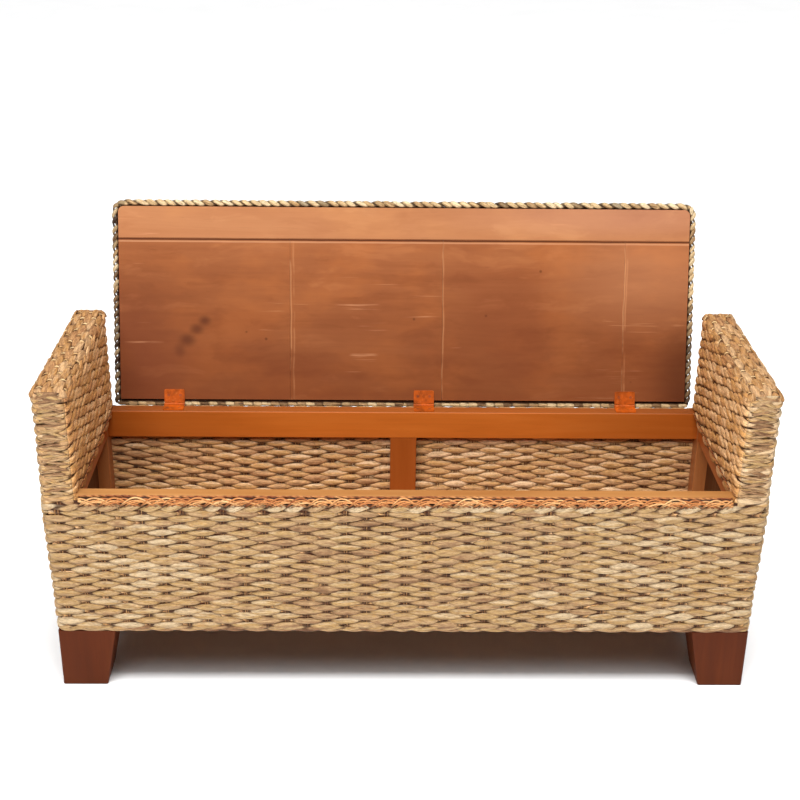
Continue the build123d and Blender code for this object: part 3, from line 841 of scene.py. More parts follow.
# ------------------------------------------------------------------ stakes (thin paired uprights)
def stakes_for(piece, loop, stakes_s, index0, z0, z1, zrow0, pitch, amp, r, gap, k=6, per=4, base=0.2):
    """Paired thin uprights that pass in front of a row where the row dives in."""
    n = int((z1 - z0) / pitch * per) + 1
    z = np.linspace(z0, z1, n)
    for q, sk in enumerate(stakes_s):
        kk = index0 + q
        for d in (-gap, gap):
            s0 = sk + d + RNG.normal(0, 0.45)
            p, nrm = loop.at(np.array([s0 % loop.len]))
            p, nrm = p[0], nrm[0]
            o = base - amp * np.cos(np.pi * ((z - zrow0) / pitch + kk)) + RNG.normal(0, 0.12, n)
            tx, ty = -nrm[1], nrm[0]
            w = np.cumsum(RNG.normal(0, 0.12, n)) * 0.4
            C = np.stack([p[0] + nrm[0] * o + tx * w, p[1] + nrm[1] * o + ty * w, z], -1)[None]
            U = np.broadcast_to(np.array([tx, ty, 0.0]), C.shape)
            N = np.broadcast_to(np.array([nrm[0], nrm[1], 0.0]), C.shape)
            # the stakes are darkened a little all along, painted shade for the gaps they lie in
            piece.add(C, U, N, r * (1 + RNG.normal(0, 0.06)), r, (z + RNG.uniform(0, 50))[None],
                      RNG.uniform(0.15, 0.8), 0.25, k=k, caps=True)


def split_stakes(stakes, lo, hi):
    i = np.where((stakes > lo) & (stakes < hi))[0]
    return stakes[i], (int(i[0]) if len(i) else 0)


sp = {n: Piece() for n in ("front", "left", "right", "back")}
zlo, zhi = ZB + 6, top_z
for n, lo, hi in (("front", fl, fr), ("left", bl, fl), ("right", fr, br), ("back", -1, bl), ("back", br, base_loop.len + 60)):
    ss, i0 = split_stakes(base_stakes, lo, hi)
    stakes_for(sp[n], base_loop, ss, i0, zlo, zhi, z_rows[0], PITCH, 1.6, 1.15, 2.2)
for nm, y, sg in (("back", D - 6, -1.0), ("front", 6.0, 1.0)):
    for kk, x0 in enumerate(np.linspace(-W2 + 14, W2 - 14, 36)[:-1] + 18.1):
        for d in (-2.2, 2.2):
            z = np.linspace(zlo, zhi - 4, 100)
            o = 1.7 + 0.5 * np.cos(np.pi * ((z - z_rows[0]) / PITCH + kk))
            C = np.stack([x0 + d + RNG.normal(0, 0.4) + 0 * z, y + sg * o, z], -1)[None]
            # darkened a little all along, painted shade for the gaps they lie in
            sp[nm].add(C, np.broadcast_to(np.array([1.0, 0, 0]), C.shape), np.broadcast_to(np.array([0, sg, 0.0]), C.shape),
                       1.1, 1.0, (z + RNG.uniform(0, 50))[None], RNG.uniform(0.15, 0.8), 0.3, k=5)
for name in ("left", "right"):
    a = arm[name]
    lp, st = a["loop"], a["stakes"]
    cb, cf, cr, cbr = lp.corner
    ap = Piece()
    z0, z1 = a["z"][0] - 8, a["z"][-1] + 9
    for lo, hi in ((-1, cb), (cb, cf), (cf, cr), (cr, cbr), (cbr, lp.len + 60)):
        ss, i0 = split_stakes(st, lo, hi)
        stakes_for(ap, lp, ss, i0, z0, z1, a["z"][0], ARM_P, 1.4, 1.1, 1.9)
    a["stakes_piece"] = ap
    # short pale ties over the arm's top, each a small stitch between two floats
    tp = Piece()
    prof_at, Lprof, ts, qf, rf, y0 = a["prof"]
    for kk, ty in enumerate(a["ties"]):
        for j in range(len(ts)):
            # the stitch shows where the strand is down
            if (kk + j) % 2 == 0:
                continue
            for d in (-1.3, 1.3):
                if RNG.uniform() < 0.32:
                    continue
                w = 5.4 + RNG.normal(0, 0.6)
                t = np.linspace(ts[j] - w, ts[j] + w, 11).clip(0.3, Lprof - 0.3)
                pr = np.array([prof_at(v) for v in t])
                e = np.linspace(-1, 1, 11)
                o = 2.2 - 2.2 * e ** 2 + RNG.normal(0, 0.15)
                sk = RNG.normal(0, 2.4)
                y = (ty - qf) + y0 + rf + d + RNG.normal(0, 0.5) + sk * e
                C = np.stack([a["sg"] * (pr[:, 0] + pr[:, 2] * o), y, pr[:, 1] + pr[:, 3] * o], -1)[None]
                N = np.stack([a["sg"] * pr[:, 2], 0 * t, pr[:, 3]], -1)[None]
                U = np.broadcast_to(np.array([0.0, 1.0, 0.0]), C.shape)
                tp.add(C, U, N, 0.85, 0.75, t[None], RNG.uniform(0.2, 1.0), 0.0, k=6)
    a["ties_piece"] = tp

# ------------------------------------------------------------------ rolled border along the front top edge
bd = Piece()
for layer, (xoff, top_, ybase, ntw) in enumerate(((0.0, 405.0, 2.4, 2), (18.55, 402.8, 3.4, 2), (9.0, 398.4, 1.8, 1))):
    for x0 in np.arange(-660 + xoff, 600, 37.1):
        lenr = 60.0 + RNG.normal(0, 4.0)
        lift = RNG.normal(0, 0.8)
        tn = RNG.uniform(0.1, 0.7)
        for q in range(ntw):
            t = np.linspace(0, 1, 23)
            x = x0 + q * 1.6 + lenr * t
            keep = (x > -586) & (x < 586)
            if keep.sum() < 5:
                continue
            arc = np.sin(np.pi * t ** 0.85) ** 1.15
            z = 389.0 + (top_ + lift - 389.0 - 4.8 * q) * arc + RNG.normal(0, 0.25)
            y = ybase - 2.6 * (1 - arc) + 0.4 * q + 1.2 * t - 1.3 * arc + 2.4 * np.clip((z - 398) / 8, 0, 1) ** 1.5
            C = np.stack([x, y, z], -1)[keep][None]
            tg = np.gradient(C[0], axis=0)
            tg /= np.linalg.norm(tg, axis=1)[:, None]
            nd = np.array([0, -0.85, 0.5])
            N = nd - tg * (tg @ nd)[:, None]
            N /= np.linalg.norm(N, axis=1)[:, None]
            U = np.cross(N, tg)
            # the loops darken towards their ends, painted shade where they tuck under, and along their edges
            bd.add(C, U[None], N[None], (0.95 + 0.65 * arc)[keep][None], 1.25, (lenr * t)[keep][None], tn + RNG.uniform(0, 0.3),
                   np.clip(0.75 - 1.5 * np.sin(np.pi * t), 0, 1)[keep][None], k=8, rim=0.45)
# flat lining of the border, darkened all over as painted shade in the slits between the loops, and a low cord behind
# the loops, along the rail
n = 200
s = np.linspace(-585, 585, n)
C = np.stack([s, 6.9 + 0 * s, 397.0 + 0.3 * np.sin(s / 40.0)], -1)[None]
bd.add(C, np.broadcast_to(np.array([0, 1.0, 0]), C.shape), np.broadcast_to(np.array([0, 0, 1.0]), C.shape), 2.6, 7.0, s[None],
       0.0, 1.0, 0.55, k=8, rho=grooves(1, n, 8, s, 3, 0.10, 30))
C = np.stack([s, 10.2 + 0.4 * np.sin(s / 31.0), 404.4 + 0.4 * np.sin(s / 47.0)], -1)
rope(bd, C, np.tile([0.0, 0.6, 0.8], (n, 1)), np.tile([0.0, -0.8, 0.6], (n, 1)), s, 26.0, 0.9, 0.8, 1.9, 1.0, 1.3, k=7, tone=(0.0, 0.6))

# border rope on top of the back weave, just behind the rail
bb = Piece()
hinge_x = sorted((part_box(n)[0].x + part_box(n)[1].x) * 500.0 for n in NODES if n.endswith("rail_leaf"))
cuts = [-640.0] + [v for h in hinge_x for v in (h - 14.0, h + 14.0)] + [640.0]
for x0, x1 in zip(cuts[::2], cuts[1::2]):
    s = np.linspace(x0, x1, int((x1 - x0) / 3.2))
    C = np.stack([s, 387.0 + 0 * s, 402.4 + 0.2 * np.sin(s / 37.0)], -1)
    rope(bb, C, np.tile([0.0, 1.0, 0.0], (len(s), 1)), np.tile([0.0, 0.0, 1.0], (len(s), 1)), s, 64.0, 0.5, 0.5, 2.9, 1.9, 2.8, k=8,
         tone=(0.1, 0.8), dark=0.95)
s = np.linspace(-640, 640, 400)
C = np.stack([s, 393.0 + 0.2 * np.sin(s / 55.0), 397.4 + 0.2 * np.sin(s / 37.0)], -1)
rope(bb, C, np.tile([0.0, 1.0, 0.0], (len(s), 1)), np.tile([0.0, 0.0, 1.0], (len(s), 1)), s, 60.0, 0.5, 0.4, 2.6, 1.9, 2.9, k=8,
     tone=(0.0, 0.5))

# ------------------------------------------------------------------ lid skin (worked closed, stands open)
LX, BX = 580.5, 572.5
L0, L1 = -21.8, 387.2
lid_loop = Loop(-576.4, 576.4, -16.4, 382.4, 19.0, 4.0)
lst = lid_loop.side_stakes(31, 11)
lb, lf_, lr, lbr = lid_loop.corner
s_l = samples(lid_loop.len, lst, PER - 1, (lb, lf_, lr, lbr))
z_l = np.array([426.2, 435.0])
m = len(z_l)
f = weft(s_l, lst, m, lid_loop.len, a0=5.6, amin=1.3, o0=1.4, dive=-0.9, b=2.4)
C, U, N = loop_arrays(lid_loop, s_l, z_l)
C = C + N * f[3][..., None] + U * (f[4] * 0.5)[..., None]
rho = grooves(m, len(s_l), K_W, s_l, 3, 0.07, 60)
il = [idx(s_l, v) for v in (lb, lf_, lr, lbr)]
lp_ = {n: Piece() for n in ("front", "left", "right", "back")}
lranges = [("left", il[0], il[1], lb, lf_), ("front", il[1], il[2], lf_, lr), ("right", il[2], il[3], lr, lbr),
           ("back", 0, il[0], 0, lb), ("back", il[3], len(s_l) - 1, lbr, lid_loop.len)]


def dark_low_sides(C, lens):
    """Darker strands low on both sides of the standing lid, and a few dark ones anywhere along the rope."""
    tab = RNG.uniform(0, 1, lens.max() + 1)
    near = np.where(C[:, 0] > 0, step(C[:, 1], 180, 270), 0.55 + 0.35 * step(C[:, 1], 60, 340))
    near = near * (np.abs(C[:, 0]) > 560)
    return np.clip(near * (0.35 + 0.65 * tab[lens]) + (tab[lens] > 0.90) * 0.45, 0, 0.86)


lid_shade_core = Piece()
for n, i0, i1, s0, s1 in lranges:
    woven(lp_[n], i0, i1, C, U, N, f, s_l, rho=rho)
    r_ = [(lp_[n], s0, s1)]
    shade_core(lid_shade_core, lid_loop, s0, s1, 413.5, 443.0, out=-1.0)
    # rope rim at the top edge; thick two-strand rope round the underside edge
    loop_rope(lid_loop, r_, 442.0, -0.6, 50.0, 1.9, 1.7, 4.0, 1.8, 2.8, -1, (0.3, 1.0))
    if n == "back":
        loop_rope(lid_loop, r_, 416.5, 4.3, 36.0, 0.4, 0.9, 4.2, 3.9, 2.8, 1, (0.0, 0.8), under=True)
    elif n == "front":
        loop_rope(lid_loop, r_, 416.0, 0.9, 38.0, 3.2, 1.9, 4.6, 2.6, 3.5, 1, (0.25, 1.0), under=True, extra_dark=dark_low_sides, k=K_R,
                  jitter=1.0)
    else:
        loop_rope(lid_loop, r_, 416.0, 3.3, 31.0, 3.2, 1.8, 4.1, 2.0, 3.2, 1, (0.05, 0.95), under=True, extra_dark=dark_low_sides, k=K_R,
                  jitter=1.3)

lt = Piece()
rows_y = np.arange(-10.5, 379, 9.75)
m = len(rows_y)
lts = np.arange(-555, 556, 37.0)
s_x = np.linspace(-572.5, 572.5, 31 * PER + 1)
f = weft(s_x, lts, m, None, o0=2.0, dive=-1.2, b=2.7)
C = np.empty((m, len(s_x), 3)); U = np.zeros_like(C); N = np.zeros_like(C)
C[..., 0] = s_x
C[..., 1] = rows_y[:, None] + f[4]
C[..., 2] = 442.4 + f[3]
# the outermost stretch settles down behind the rim rope
C[..., 2] -= (np.clip((np.abs(s_x) - 560) / 12.5, 0, 1) ** 2) * 1.6
U[..., 1] = 1
N[..., 2] = 1
lth = Piece()
rho = grooves(m, len(s_x), K_W, s_x)
woven(lt, 0, len(s_x) - 1, C, U, N, f, s_x, rho=rho, sel=slice(0, 20))
woven(lth, 0, len(s_x) - 1, C, U, N, f, s_x, rho=rho, sel=slice(20, m))
# dark sheet under the lid top's rows, painted shade for the gaps between them
Cc = np.stack([s_x, 0 * s_x + 183.0, 0 * s_x + 441.6], -1)[None]
lid_shade_core.add(Cc, np.broadcast_to(np.array([0, 1.0, 0]), Cc.shape), np.broadcast_to(np.array([0, 0, 1.0]), Cc.shape),
          196.0, 0.5, s_x[None], 0.5, k=8, power=0.2)
ltk = Piece()
for kk, x0 in enumerate(lts):
    for d in (-2.1, 2.1):
        y = np.linspace(-12, 380, 150)
        o = 1.0 - 1.2 * np.cos(np.pi * ((y - rows_y[0]) / 9.75 + kk))
        Cc = np.stack([x0 + d + RNG.normal(0, 0.3) + 0 * y, y, 442.4 + o], -1)[None]
        # darkened a little all along, painted shade for the gaps they lie in
        ltk.add(Cc, np.broadcast_to(np.array([1.0, 0, 0]), Cc.shape), np.broadcast_to(np.array([0, 0, 1.0]), Cc.shape),
                1.15, 1.0, y[None], RNG.uniform(0.2, 0.8), 0.3, k=5)

# thin border at the foot of each inner arm skin
ab = Piece()
for sg in (-1, 1):
    n = 150
    y = np.linspace(41, 355, n)
    C = np.stack([0 * y + sg * 585.6, y, 0 * y + 407.6], -1)
    rope(ab, C, np.tile([0.0, 0.0, 1.0], (n, 1)), np.tile([-1.0 * sg, 0.0, 0.0], (n, 1)), y, 30.0, 0.8, 0.9, 1.9, 1.1, 1.3, k=7,
         tone=(0.0, 0.5))

# ------------------------------------------------------------------ make the woven pieces
pc["front_low"].make("front_woven_rows_low", "base", OUTER, world_base, ["front_weave"], "outer_weave")
pc["front_high"].make("front_woven_rows_high", "base", OUTER, world_base, ["front_weave"], "outer_weave")
pc["left"].make("left_side_woven_rows", "base", OUTER, world_arm, ["left_side_weave"], "outer_weave")
pc["right"].make("right_side_woven_rows", "base", OUTER, world_arm, ["right_side_weave"], "outer_weave")
pc["back_low"].make("back_woven_rows_low", "base", OUTER, world_base, ["back_weave"], "inner_weave")
pc["back_high"].make("back_woven_rows_high", "base", OUTER, world_base, ["back_weave"], "inner_weave")
inside["back"][0].make("back_inside_rows_low", "base", INNER, world_base, ["back_weave"], "inner_weave")
inside["back"][1].make("back_inside_rows_high", "base", INNER, world_base, ["back_weave"], "inner_weave")
inside["front"][0].make("front_inside_rows_low", "base", INNER, world_base, ["front_weave"], "inner_weave")
inside["front"][1].make("front_inside_rows_high", "base", INNER, world_base, ["front_weave"], "inner_weave")
shade_cores.make("base_weave_shade_core", "base", SHADE_CORE, world_base, (), "inner_weave")
bb.make("back_top_border_rope", "base", ARMTOP, world_base, (), "border_braid")
for n in ("front", "left", "right", "back"):
    sp[n].make(f"{n}_stake_pairs", "base", STAKES, world_base, (), "outer_weave")
for name in ("left", "right"):
    a = arm[name]
    a["P"]["front"].make(f"{name}_arm_front_rows", "base", ARMS, world_arm, [f"{name}_arm_front_weave"], "outer_weave")
    a["P"]["inner"].make(f"{name}_arm_inner_rows", "base", ARMIN, world_arm, [f"{name}_arm_inner_weave"], "inner_weave")
    a["P"]["back"].make(f"{name}_arm_back_rows", "base", ARMS, world_arm, [f"{name}_arm_back_weave"], "outer_weave")
    a["P"]["shade_core"].make(f"{name}_arm_shade_core", "base", SHADE_CORE, world_arm, (), "inner_weave")
    a["top"].make(f"{name}_arm_top_strands", "base", ARMTOP, world_arm, [f"{name}_arm_top_weave"], "outer_weave")
    a["leaves"].make(f"{name}_arm_front_leaves", "base", OUTER, world_arm, (), "outer_weave")
    a["stakes_piece"].make(f"{name}_arm_stake_pairs", "base", STAKES, world_arm, (), "outer_weave")
    a["ties_piece"].make(f"{name}_arm_top_ties", "base", TIES, world_arm, (), "border_braid")
bd.make("front_border_loops", "base", BRAID, world_base, ["front_border_braid"], "border_braid")
ab.make("arm_foot_cords", "base", BRAID, world_base, ["arm_border_braids"], "border_braid")
lp_["front"].make("lid_front_edge_rows", "lid", EDGE, world_lid, ["lid_front_edge_weave"], "lid_edge_weave")
lp_["left"].make("lid_left_edge_rows", "lid", EDGE, world_lid, ["lid_left_edge_weave"], "lid_edge_weave")
lp_["right"].make("lid_right_edge_rows", "lid", EDGE, world_lid, ["lid_right_edge_weave"], "lid_edge_weave")
lp_["back"].make("lid_back_edge_rows", "lid", EDGE, world_lid, ["lid_back_edge_weave"], "lid_edge_weave")
lt.make("lid_top_woven_rows_front", "lid", OUTER, world_lid, ["lid_top_weave"], "outer_weave")
lth.make("lid_top_woven_rows_back", "lid", OUTER, world_lid, ["lid_top_weave"], "outer_weave")
ltk.make("lid_top_stake_pairs", "lid", STAKES, world_lid, (), "outer_weave")
lid_shade_core.make("lid_weave_shade_core", "lid", SHADE_CORE, world_lid, (), "lid_edge_weave")


# ------------------------------------------------------------------ wood and metal
def wood(name, dark, mid, light, axis="X", scale=1.0, rough=0.42, contrast=1.0, coat=0.12, extra=None, bump=0.25, figure=0.35, spec=0.3):
    """Stained wood with its grain along one axis."""
    t = Tree(name)
    co = t.new("ShaderNodeTexCoord").outputs["Object"]
    x, y, z = t.sep(co)

    def along(k):
        kk = {"X": (k, 1, 1), "Y": (1, k, 1), "Z": (1, 1, k)}[axis]
        return t.comb(*[t.math("MULTIPLY", v, q) for v, q in zip((x, y, z), kk)])

    g = along(0.05)
    warp = t.noise(along(0.3), 5.0 * scale, 2.0, 0.5, out=1)
    gw = t.vec("ADD", g, t.vec("SCALE", t.vec("SUBTRACT", warp, (0.5, 0.5, 0.5)), None, 0.05))
    fine = t.noise(gw, 620.0 * scale, 4.0, 0.65)
    mid_n = t.noise(gw, 120.0 * scale, 4.0, 0.62)
    wide = t.noise(gw, 26.0 * scale, 3.0, 0.55)
    big = t.noise(along(0.35), 7.0, 3.0, 0.55)
    v = t.math("ADD", t.math("MULTIPLY", wide, figure), t.math("MULTIPLY", mid_n, 0.30))
    v = t.math("ADD", v, t.math("MULTIPLY", big, 0.70 - figure))
    lo, hi = 0.5 - 0.20 / contrast, 0.5 + 0.20 / contrast
    col = t.ramp(t.range(v, lo, hi, 0.0, 1.0), [(0.0, lin(*dark)), (0.5, lin(*mid)), (1.0, lin(*light))])
    pores = t.smooth(fine, 0.60, 0.74)
    col = t.mix(t.math("MULTIPLY", pores, 0.22), col, lin(*[int(c * 0.55) for c in dark]))
    if extra:
        col = extra(t, col, co, (x, y, z), gw)
    t.set("Base Color", col)
    t.set("Roughness", t.range(mid_n, 0.3, 0.7, rough - 0.07, rough + 0.10))
    t.set("Coat Weight", coat)
    t.set("Coat Roughness", 0.28)
    t.set("Specular IOR Level", spec)
    h = t.math("ADD", t.math("MULTIPLY", fine, 0.5), t.math("MULTIPLY", mid_n, 0.5))
    t.set("Normal", t.bump(h, bump, 0.0005))
    return t.mat


YSm = YS / 1000.0
JOINT_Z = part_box("lid_front_board")[0].z


def blob(t, co, centre, radii, soft=1.0):
    """Soft-edged patch: 1 at the centre, 0 outside an ellipsoid."""
    d = t.vec("SUBTRACT", co, centre)
    d = t.vec("DIVIDE", d, radii)
    n = t.new("ShaderNodeVectorMath", operation="LENGTH")
    t.put(n.inputs[0], d)
    return t.smooth(n.outputs["Value"], 1.0, 1.0 - soft)


def lid_wood(name, front_board):
    """Reddish stained boards: blotchy staining, rubbed in places, faint grain along the width; on the main boards,
    painted shade growing towards the bottom, painted shadows of the arms in the lower corners and a painted pool of
    light to the upper right.
    """
    def extra(t, col, co, xyz, gw):
        x, y, z = xyz
        cloud = t.noise(t.comb(t.math("MULTIPLY", x, 0.55), 0.0, z), 7.5, 4.0, 0.6)
        cloud2 = t.noise(t.comb(t.math("MULTIPLY", x, 0.8), 3.0, z), 3.4, 3.0, 0.55)
        wisp = t.noise(t.vec("ADD", t.comb(t.math("MULTIPLY", x, 0.22), 0.0, z),
                             t.vec("SCALE", t.noise(co, 6.0, 2.0, 0.5, out=1), None, 0.05)), 22.0, 4.0, 0.62)
        col = t.mix(t.math("MULTIPLY", t.smooth(cloud, 0.44, 0.66), 0.42), col, lin(*((200, 136, 84) if front_board else (186, 108, 54))))
        col = t.mix(t.math("MULTIPLY", t.smooth(cloud2, 0.48, 0.66), 0.40), col, lin(*((168, 104, 66) if front_board else (132, 68, 38))))
        col = t.mix(t.math("MULTIPLY", t.smooth(wisp, 0.50, 0.68), 0.30), col, lin(*((158, 94, 56) if front_board else (112, 55, 29))))
        col = t.mix(t.math("MULTIPLY", t.smooth(wisp, 0.44, 0.30), 0.28), col, lin(*((212, 152, 102) if front_board else (198, 126, 78))))
        if front_board:
            # dull pink bloom to the right
            col = t.mix(t.math("MULTIPLY", blob(t, co, (0.42, YSm + 0.5, 0.77), (0.42, 1.0, 0.06), 0.9), 0.42), col, lin(184, 128, 104))
        else:
            # painted shade, growing towards the bottom of the standing boards
            up = t.range(z, 0.42, 0.74, 0.0, 1.0)
            up = t.math("ADD", up, t.math("MULTIPLY", t.math("SUBTRACT", cloud, 0.5), 0.7), clamp=True)
            col = t.mix(t.math("MULTIPLY", t.math("SUBTRACT", 1.0, up), 0.58), col, lin(104, 47, 20))
            # painted shadows of the arms on the lower left and lower right
            col = t.mix(t.math("MULTIPLY", blob(t, co, (-0.53, YSm + 0.42, 0.52), (0.15, 1.0, 0.20), 0.9), 0.45), col, lin(104, 50, 32))
            col = t.mix(t.math("MULTIPLY", blob(t, co, (0.59, YSm + 0.42, 0.46), (0.12, 1.0, 0.17), 0.8), 0.60), col, lin(68, 32, 17))
            # painted pool of light to the upper right
            col = t.mix(t.math("MULTIPLY", blob(t, co, (0.50, YSm + 0.46, 0.66), (0.26, 1.0, 0.15), 0.9), 0.32), col, lin(200, 136, 96))
            # smudge low on the left, with a tail
            for (cx, cz, rx, rz, am) in ((-0.437, 0.531, 0.024, 0.019, 0.62), (-0.418, 0.551, 0.020, 0.015, 0.60),
                                         (-0.402, 0.568, 0.018, 0.014, 0.62), (-0.452, 0.512, 0.016, 0.020, 0.35)):
                col = t.mix(t.math("MULTIPLY", blob(t, co, (cx, YSm + 0.43, cz), (rx, 1.0, rz), 0.9), am), col, lin(74, 36, 22))
            # pale rubbed lines where the panel's pieces meet
            for bx, am, z0 in ((-0.228, 0.34, 0.43), (-0.222, 0.22, 0.45), (0.079, 0.34, 0.44), (0.4445, 0.50, 0.42), (0.449, 0.28, 0.42)):
                wob = t.math("ADD", x, t.math("MULTIPLY", t.math("SUBTRACT", t.noise(co, 7.0, 2.0), 0.5), 0.016))
                line = t.smooth(t.math("ABSOLUTE", t.math("SUBTRACT", wob, bx)), 0.0024, 0.0006)
                brk = t.smooth(t.noise(t.comb(0.0, bx * 50, z), 14.0, 3.0, 0.6), 0.40, 0.56)
                top = t.smooth(z, 0.735, 0.70)
                col = t.mix(t.math("MULTIPLY", t.math("MULTIPLY", line, brk), t.math("MULTIPLY", top, am)), col, lin(214, 150, 102))
        zj = t.math("ADD", z, t.math("MULTIPLY", t.math("SUBTRACT", t.noise(t.comb(x, 0.0, 0.0), 14.0, 2.0), 0.5), 0.0012))
        col = t.mix(t.math("MULTIPLY", t.smooth(t.math("ABSOLUTE", t.math("SUBTRACT", zj, JOINT_Z)), 0.0022, 0.0009), 0.85), col, lin(70, 32, 16))
        col = t.mix(t.math("MULTIPLY", t.smooth(t.math("ABSOLUTE", t.math("SUBTRACT", zj, JOINT_Z - 0.0042)), 0.0022, 0.0008), 0.40), col, lin(222, 164, 122))
        scr = t.noise(t.comb(t.math("MULTIPLY", x, 1.5), 0.0, t.math("MULTIPLY", z, 60.0)), 2.2, 3.0, 0.7)
        patchy = t.smooth(t.noise(co, 8.0, 2.0), 0.54, 0.66)
        col = t.mix(t.math("MULTIPLY", t.math("MULTIPLY", t.smooth(scr, 0.60, 0.70), patchy), 0.40), col, lin(214, 150, 108))
        spots = t.new("ShaderNodeTexVoronoi", feature="F1")
        t.put(spots.inputs["Vector"], co)
        spots.inputs["Scale"].default_value = 13.0
        col = t.mix(t.math("MULTIPLY", t.smooth(spots.outputs["Distance"], 0.05, 0.02), 0.55), col, lin(76, 36, 20))
        return col
    if front_board:
        return wood(name, (160, 98, 60), (178, 116, 74), (194, 134, 90), "X", 0.8, 0.50, contrast=0.6, coat=0.0, spec=0.12, extra=extra)
    return wood(name, (128, 70, 39), (152, 89, 51), (171, 106, 64), "X", 0.8, 0.50, contrast=0.7, coat=0.0, spec=0.08, extra=extra)


M_LID = lid_wood("lid_board_wood", False)
M_LIDF = lid_wood("lid_front_board_wood", True)


def rail_darker_top_and_shaded_ends(t, col, co, xyz, gw):
    """The rail's upper face is darker than its front, and its ends carry painted shade, darker than its middle."""
    x, y, z = xyz
    # painted shade towards the ends
    col = t.mix(t.math("MULTIPLY", t.smooth(t.math("ABSOLUTE", x), 0.18, 0.52), 0.40), col, lin(126, 54, 10))
    up = t.sep(t.new("ShaderNodeNewGeometry").outputs["Normal"])[2]
    return t.mix(t.math("MULTIPLY", t.smooth(up, 0.5, 0.8), 0.62), col, lin(112, 58, 24))


M_RAIL = wood("back_rail_wood", (174, 84, 20), (204, 108, 36), (218, 126, 52), "X", 0.7, 0.44, contrast=0.7, coat=0.04, spec=0.25, extra=rail_darker_top_and_shaded_ends)
M_STRIP = wood("front_rail_wood", (152, 96, 46), (174, 120, 66), (194, 144, 90), "X", 0.7, 0.52, contrast=0.9, coat=0.0, spec=0.15)
M_POST = wood("centre_post_wood", (138, 64, 18), (162, 80, 26), (180, 96, 38), "Z", 0.7, 0.42, contrast=0.8, coat=0.03, spec=0.25)
M_CPOST = wood("corner_post_wood", (150, 82, 36), (178, 108, 58), (200, 134, 84), "Z", 0.7, 0.42, contrast=0.8, coat=0.1)
M_SRAIL = wood("seat_rail_wood", (150, 70, 22), (180, 92, 34), (198, 112, 48), "Y", 0.7, 0.38, contrast=0.8, coat=0.15)
M_PLY = wood("side_panel_ply", (70, 36, 14), (92, 50, 20), (112, 66, 30), "Z", 0.6, 0.5, contrast=0.9, coat=0.0)
M_FOOT = wood("foot_wood", (66, 28, 11), (85, 38, 16), (103, 51, 24), "Z", 0.6, 0.50, contrast=0.8, coat=0.0, spec=0.08)
M_RAW = wood("hidden_frame_wood", (84, 56, 34), (108, 74, 46), (128, 92, 60), "X", 0.7, 0.6, contrast=0.8, coat=0.0)
M_FLOOR = wood("storage_floor_ply", (120, 72, 40), (150, 98, 60), (172, 120, 80), "X", 0.6, 0.55, contrast=0.8, coat=0.0)


def hinge_metal(name, body, wear):
    """Hinge stained over with the rail's finish, rubbed through in patches."""
    t = Tree(name)
    co = t.new("ShaderNodeTexCoord").outputs["Object"]
    n1 = t.noise(co, 240.0, 4.0, 0.65)
    n2 = t.noise(co, 60.0, 3.0, 0.6)
    col = t.ramp(n2, [(0.3, lin(*[int(c * 0.72) for c in body])), (0.5, lin(*body)), (0.72, lin(*[min(255, int(c * 1.14)) for c in body]))])
    rub = t.smooth(n1, 0.58, 0.72)
    col = t.mix(t.math("MULTIPLY", rub, 0.55), col, lin(*wear))
    t.set("Base Color", col)
    t.set("Metallic", 0.0)
    t.set("Specular IOR Level", 0.15)
    t.set("Roughness", t.range(n1, 0.3, 0.7, 0.36, 0.58))
    t.set("Normal", t.bump(n1, 0.35, 0.0004))
    return t.mat


M_HINGE = hinge_metal("hinge_stained_steel", (176, 78, 14), (206, 126, 60))
M_SCREW = hinge_metal("screw_steel", (150, 72, 34), (96, 58, 40))


def give(mat, *names):
    for n in names:
        o = NODES[n]
        if len(o.material_slots) == 0:
            o.data.materials.append(mat)
        for s in o.material_slots:
            s.material = mat


give(M_LID, "lid_panel_1", "lid_panel_2", "lid_panel_3", "lid_panel_4")
give(M_LIDF, "lid_front_board")
give(M_RAIL, "back_top_rail")
give(M_STRIP, "front_top_rail")
give(M_POST, "back_center_post", "front_center_post")
give(M_CPOST, "front_left_post", "front_right_post", "back_left_post", "back_right_post")
give(M_SRAIL, "left_seat_rail", "right_seat_rail")
give(M_PLY, "left_side_panel", "right_side_panel")
give(M_FOOT, "front_left_foot", "front_right_foot", "back_left_foot", "back_right_foot")
give(M_RAW, "arm_rails", "left_bottom_rail", "right_bottom_rail", "front_bottom_rail", "back_bottom_rail",
     "floor_slats", "lid_front_rail", "lid_back_rail", "lid_cross_rails")
give(M_FLOOR, "floor_panel")
give(M_HINGE, *[n for n in NODES if n.endswith("_leaf")])
give(M_SCREW, "hinge_pins", "hinge_rail_screws", "hinge_lid_screws", "foot_bolts")

# ------------------------------------------------------------------ floor and light
def floor():
    me = bpy.data.meshes.new("studio_floor")
    me.from_pydata([(-30, -30, 0), (30, -30, 0), (30, 30, 0), (-30, 30, 0)], [], [(0, 1, 2, 3)])
    t = Tree("floor_paint")
    n = t.noise(t.new("ShaderNodeTexCoord").outputs["Object"], 3.0, 3.0, 0.6)
    t.set("Base Color", t.ramp(n, [(0.3, (0.90, 0.90, 0.90)), (0.7, (0.93, 0.93, 0.93))]))
    t.set("Roughness", 0.9)
    t.set("Specular IOR Level", 0.1)
    me.materials.append(t.mat)
    o = bpy.data.objects.new("studio_floor", me)
    bpy.context.scene.collection.objects.link(o)


floor()


def area(name, loc, target, size, power, color=(1, 1, 1)):
    d = bpy.data.lights.new(name, "AREA")
    d.shape = "RECTANGLE"
    d.size, d.size_y = size
    d.energy = power
    d.color = color
    o = bpy.data.objects.new(name, d)
    bpy.context.scene.collection.objects.link(o)
    o.location = loc
    o.rotation_euler = (Vector(target) - Vector(loc)).to_track_quat("-Z", "Y").to_euler()
    return o


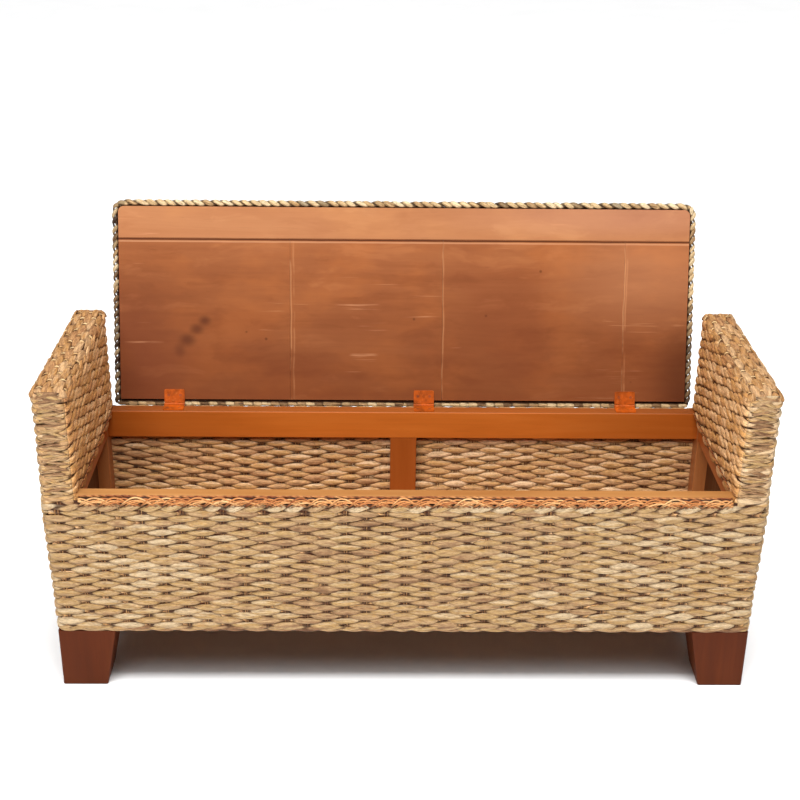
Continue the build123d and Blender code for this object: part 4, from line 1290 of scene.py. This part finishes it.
wd = bpy.data.worlds.new("studio")
bpy.context.scene.world = wd
wd.use_nodes = True
wt = wd.node_tree
bg = wt.nodes["Background"]
bg.inputs[1].default_value = 1.0
wco = wt.nodes.new("ShaderNodeTexCoord")
wsep = wt.nodes.new("ShaderNodeSeparateXYZ")
wt.links.new(wco.outputs["Generated"], wsep.inputs[0])
wr = wt.nodes.new("ShaderNodeValToRGB")
wr.color_ramp.interpolation = "EASE"
# a broad overhead softbox that fades towards the horizon
for e, (p, c) in zip([wr.color_ramp.elements[0], wr.color_ramp.elements[1], wr.color_ramp.elements.new(0.5),
                      wr.color_ramp.elements.new(0.6)],
                     ((0.0, 0.008), (1.0, 1.0), (0.70, 0.02), (0.91, 0.90))):
    e.position = p
    e.color = (c, c, c, 1)
wt.links.new(wsep.outputs["Z"], wr.inputs[0])
wm = wt.nodes.new("ShaderNodeVectorMath")
wm.operation = "SCALE"
wt.links.new(wr.outputs[0], wm.inputs[0])
wm.inputs["Scale"].default_value = 3.15
lpn = wt.nodes.new("ShaderNodeLightPath")
wmix = wt.nodes.new("ShaderNodeMix")
wmix.data_type = "RGBA"
wt.links.new(lpn.outputs["Is Camera Ray"], wmix.inputs[0])
wt.links.new(wm.outputs[0], wmix.inputs[6])
wmix.inputs[7].default_value = (1, 1, 1, 1)
wt.links.new(wmix.outputs[2], bg.inputs[0])
key = area("key", (-0.6, -2.8, 2.95), (0, 0, 0.4), (2.4, 1.1), 124)
# the front light falls on the bench alone, so that the floor keeps the overhead light's soft contact shadow
lit = bpy.data.collections.new("lit_by_key")
for o in list(bpy.context.scene.objects):
    if o.type == "MESH" and o.name != "studio_floor":
        lit.objects.link(o)
key.light_linking.receiver_collection = lit
ground = bpy.data.collections.new("lit_by_overhead")
ground.objects.link(bpy.data.objects["studio_floor"])
top_light = area("overhead", (0, -1.15, 4.2), (0, -0.12, 0), (2.6, 1.0), 190)
top_light.light_linking.receiver_collection = ground
sc = bpy.context.scene
sc.view_settings.view_transform = "Standard"
sc.view_settings.look = "None"
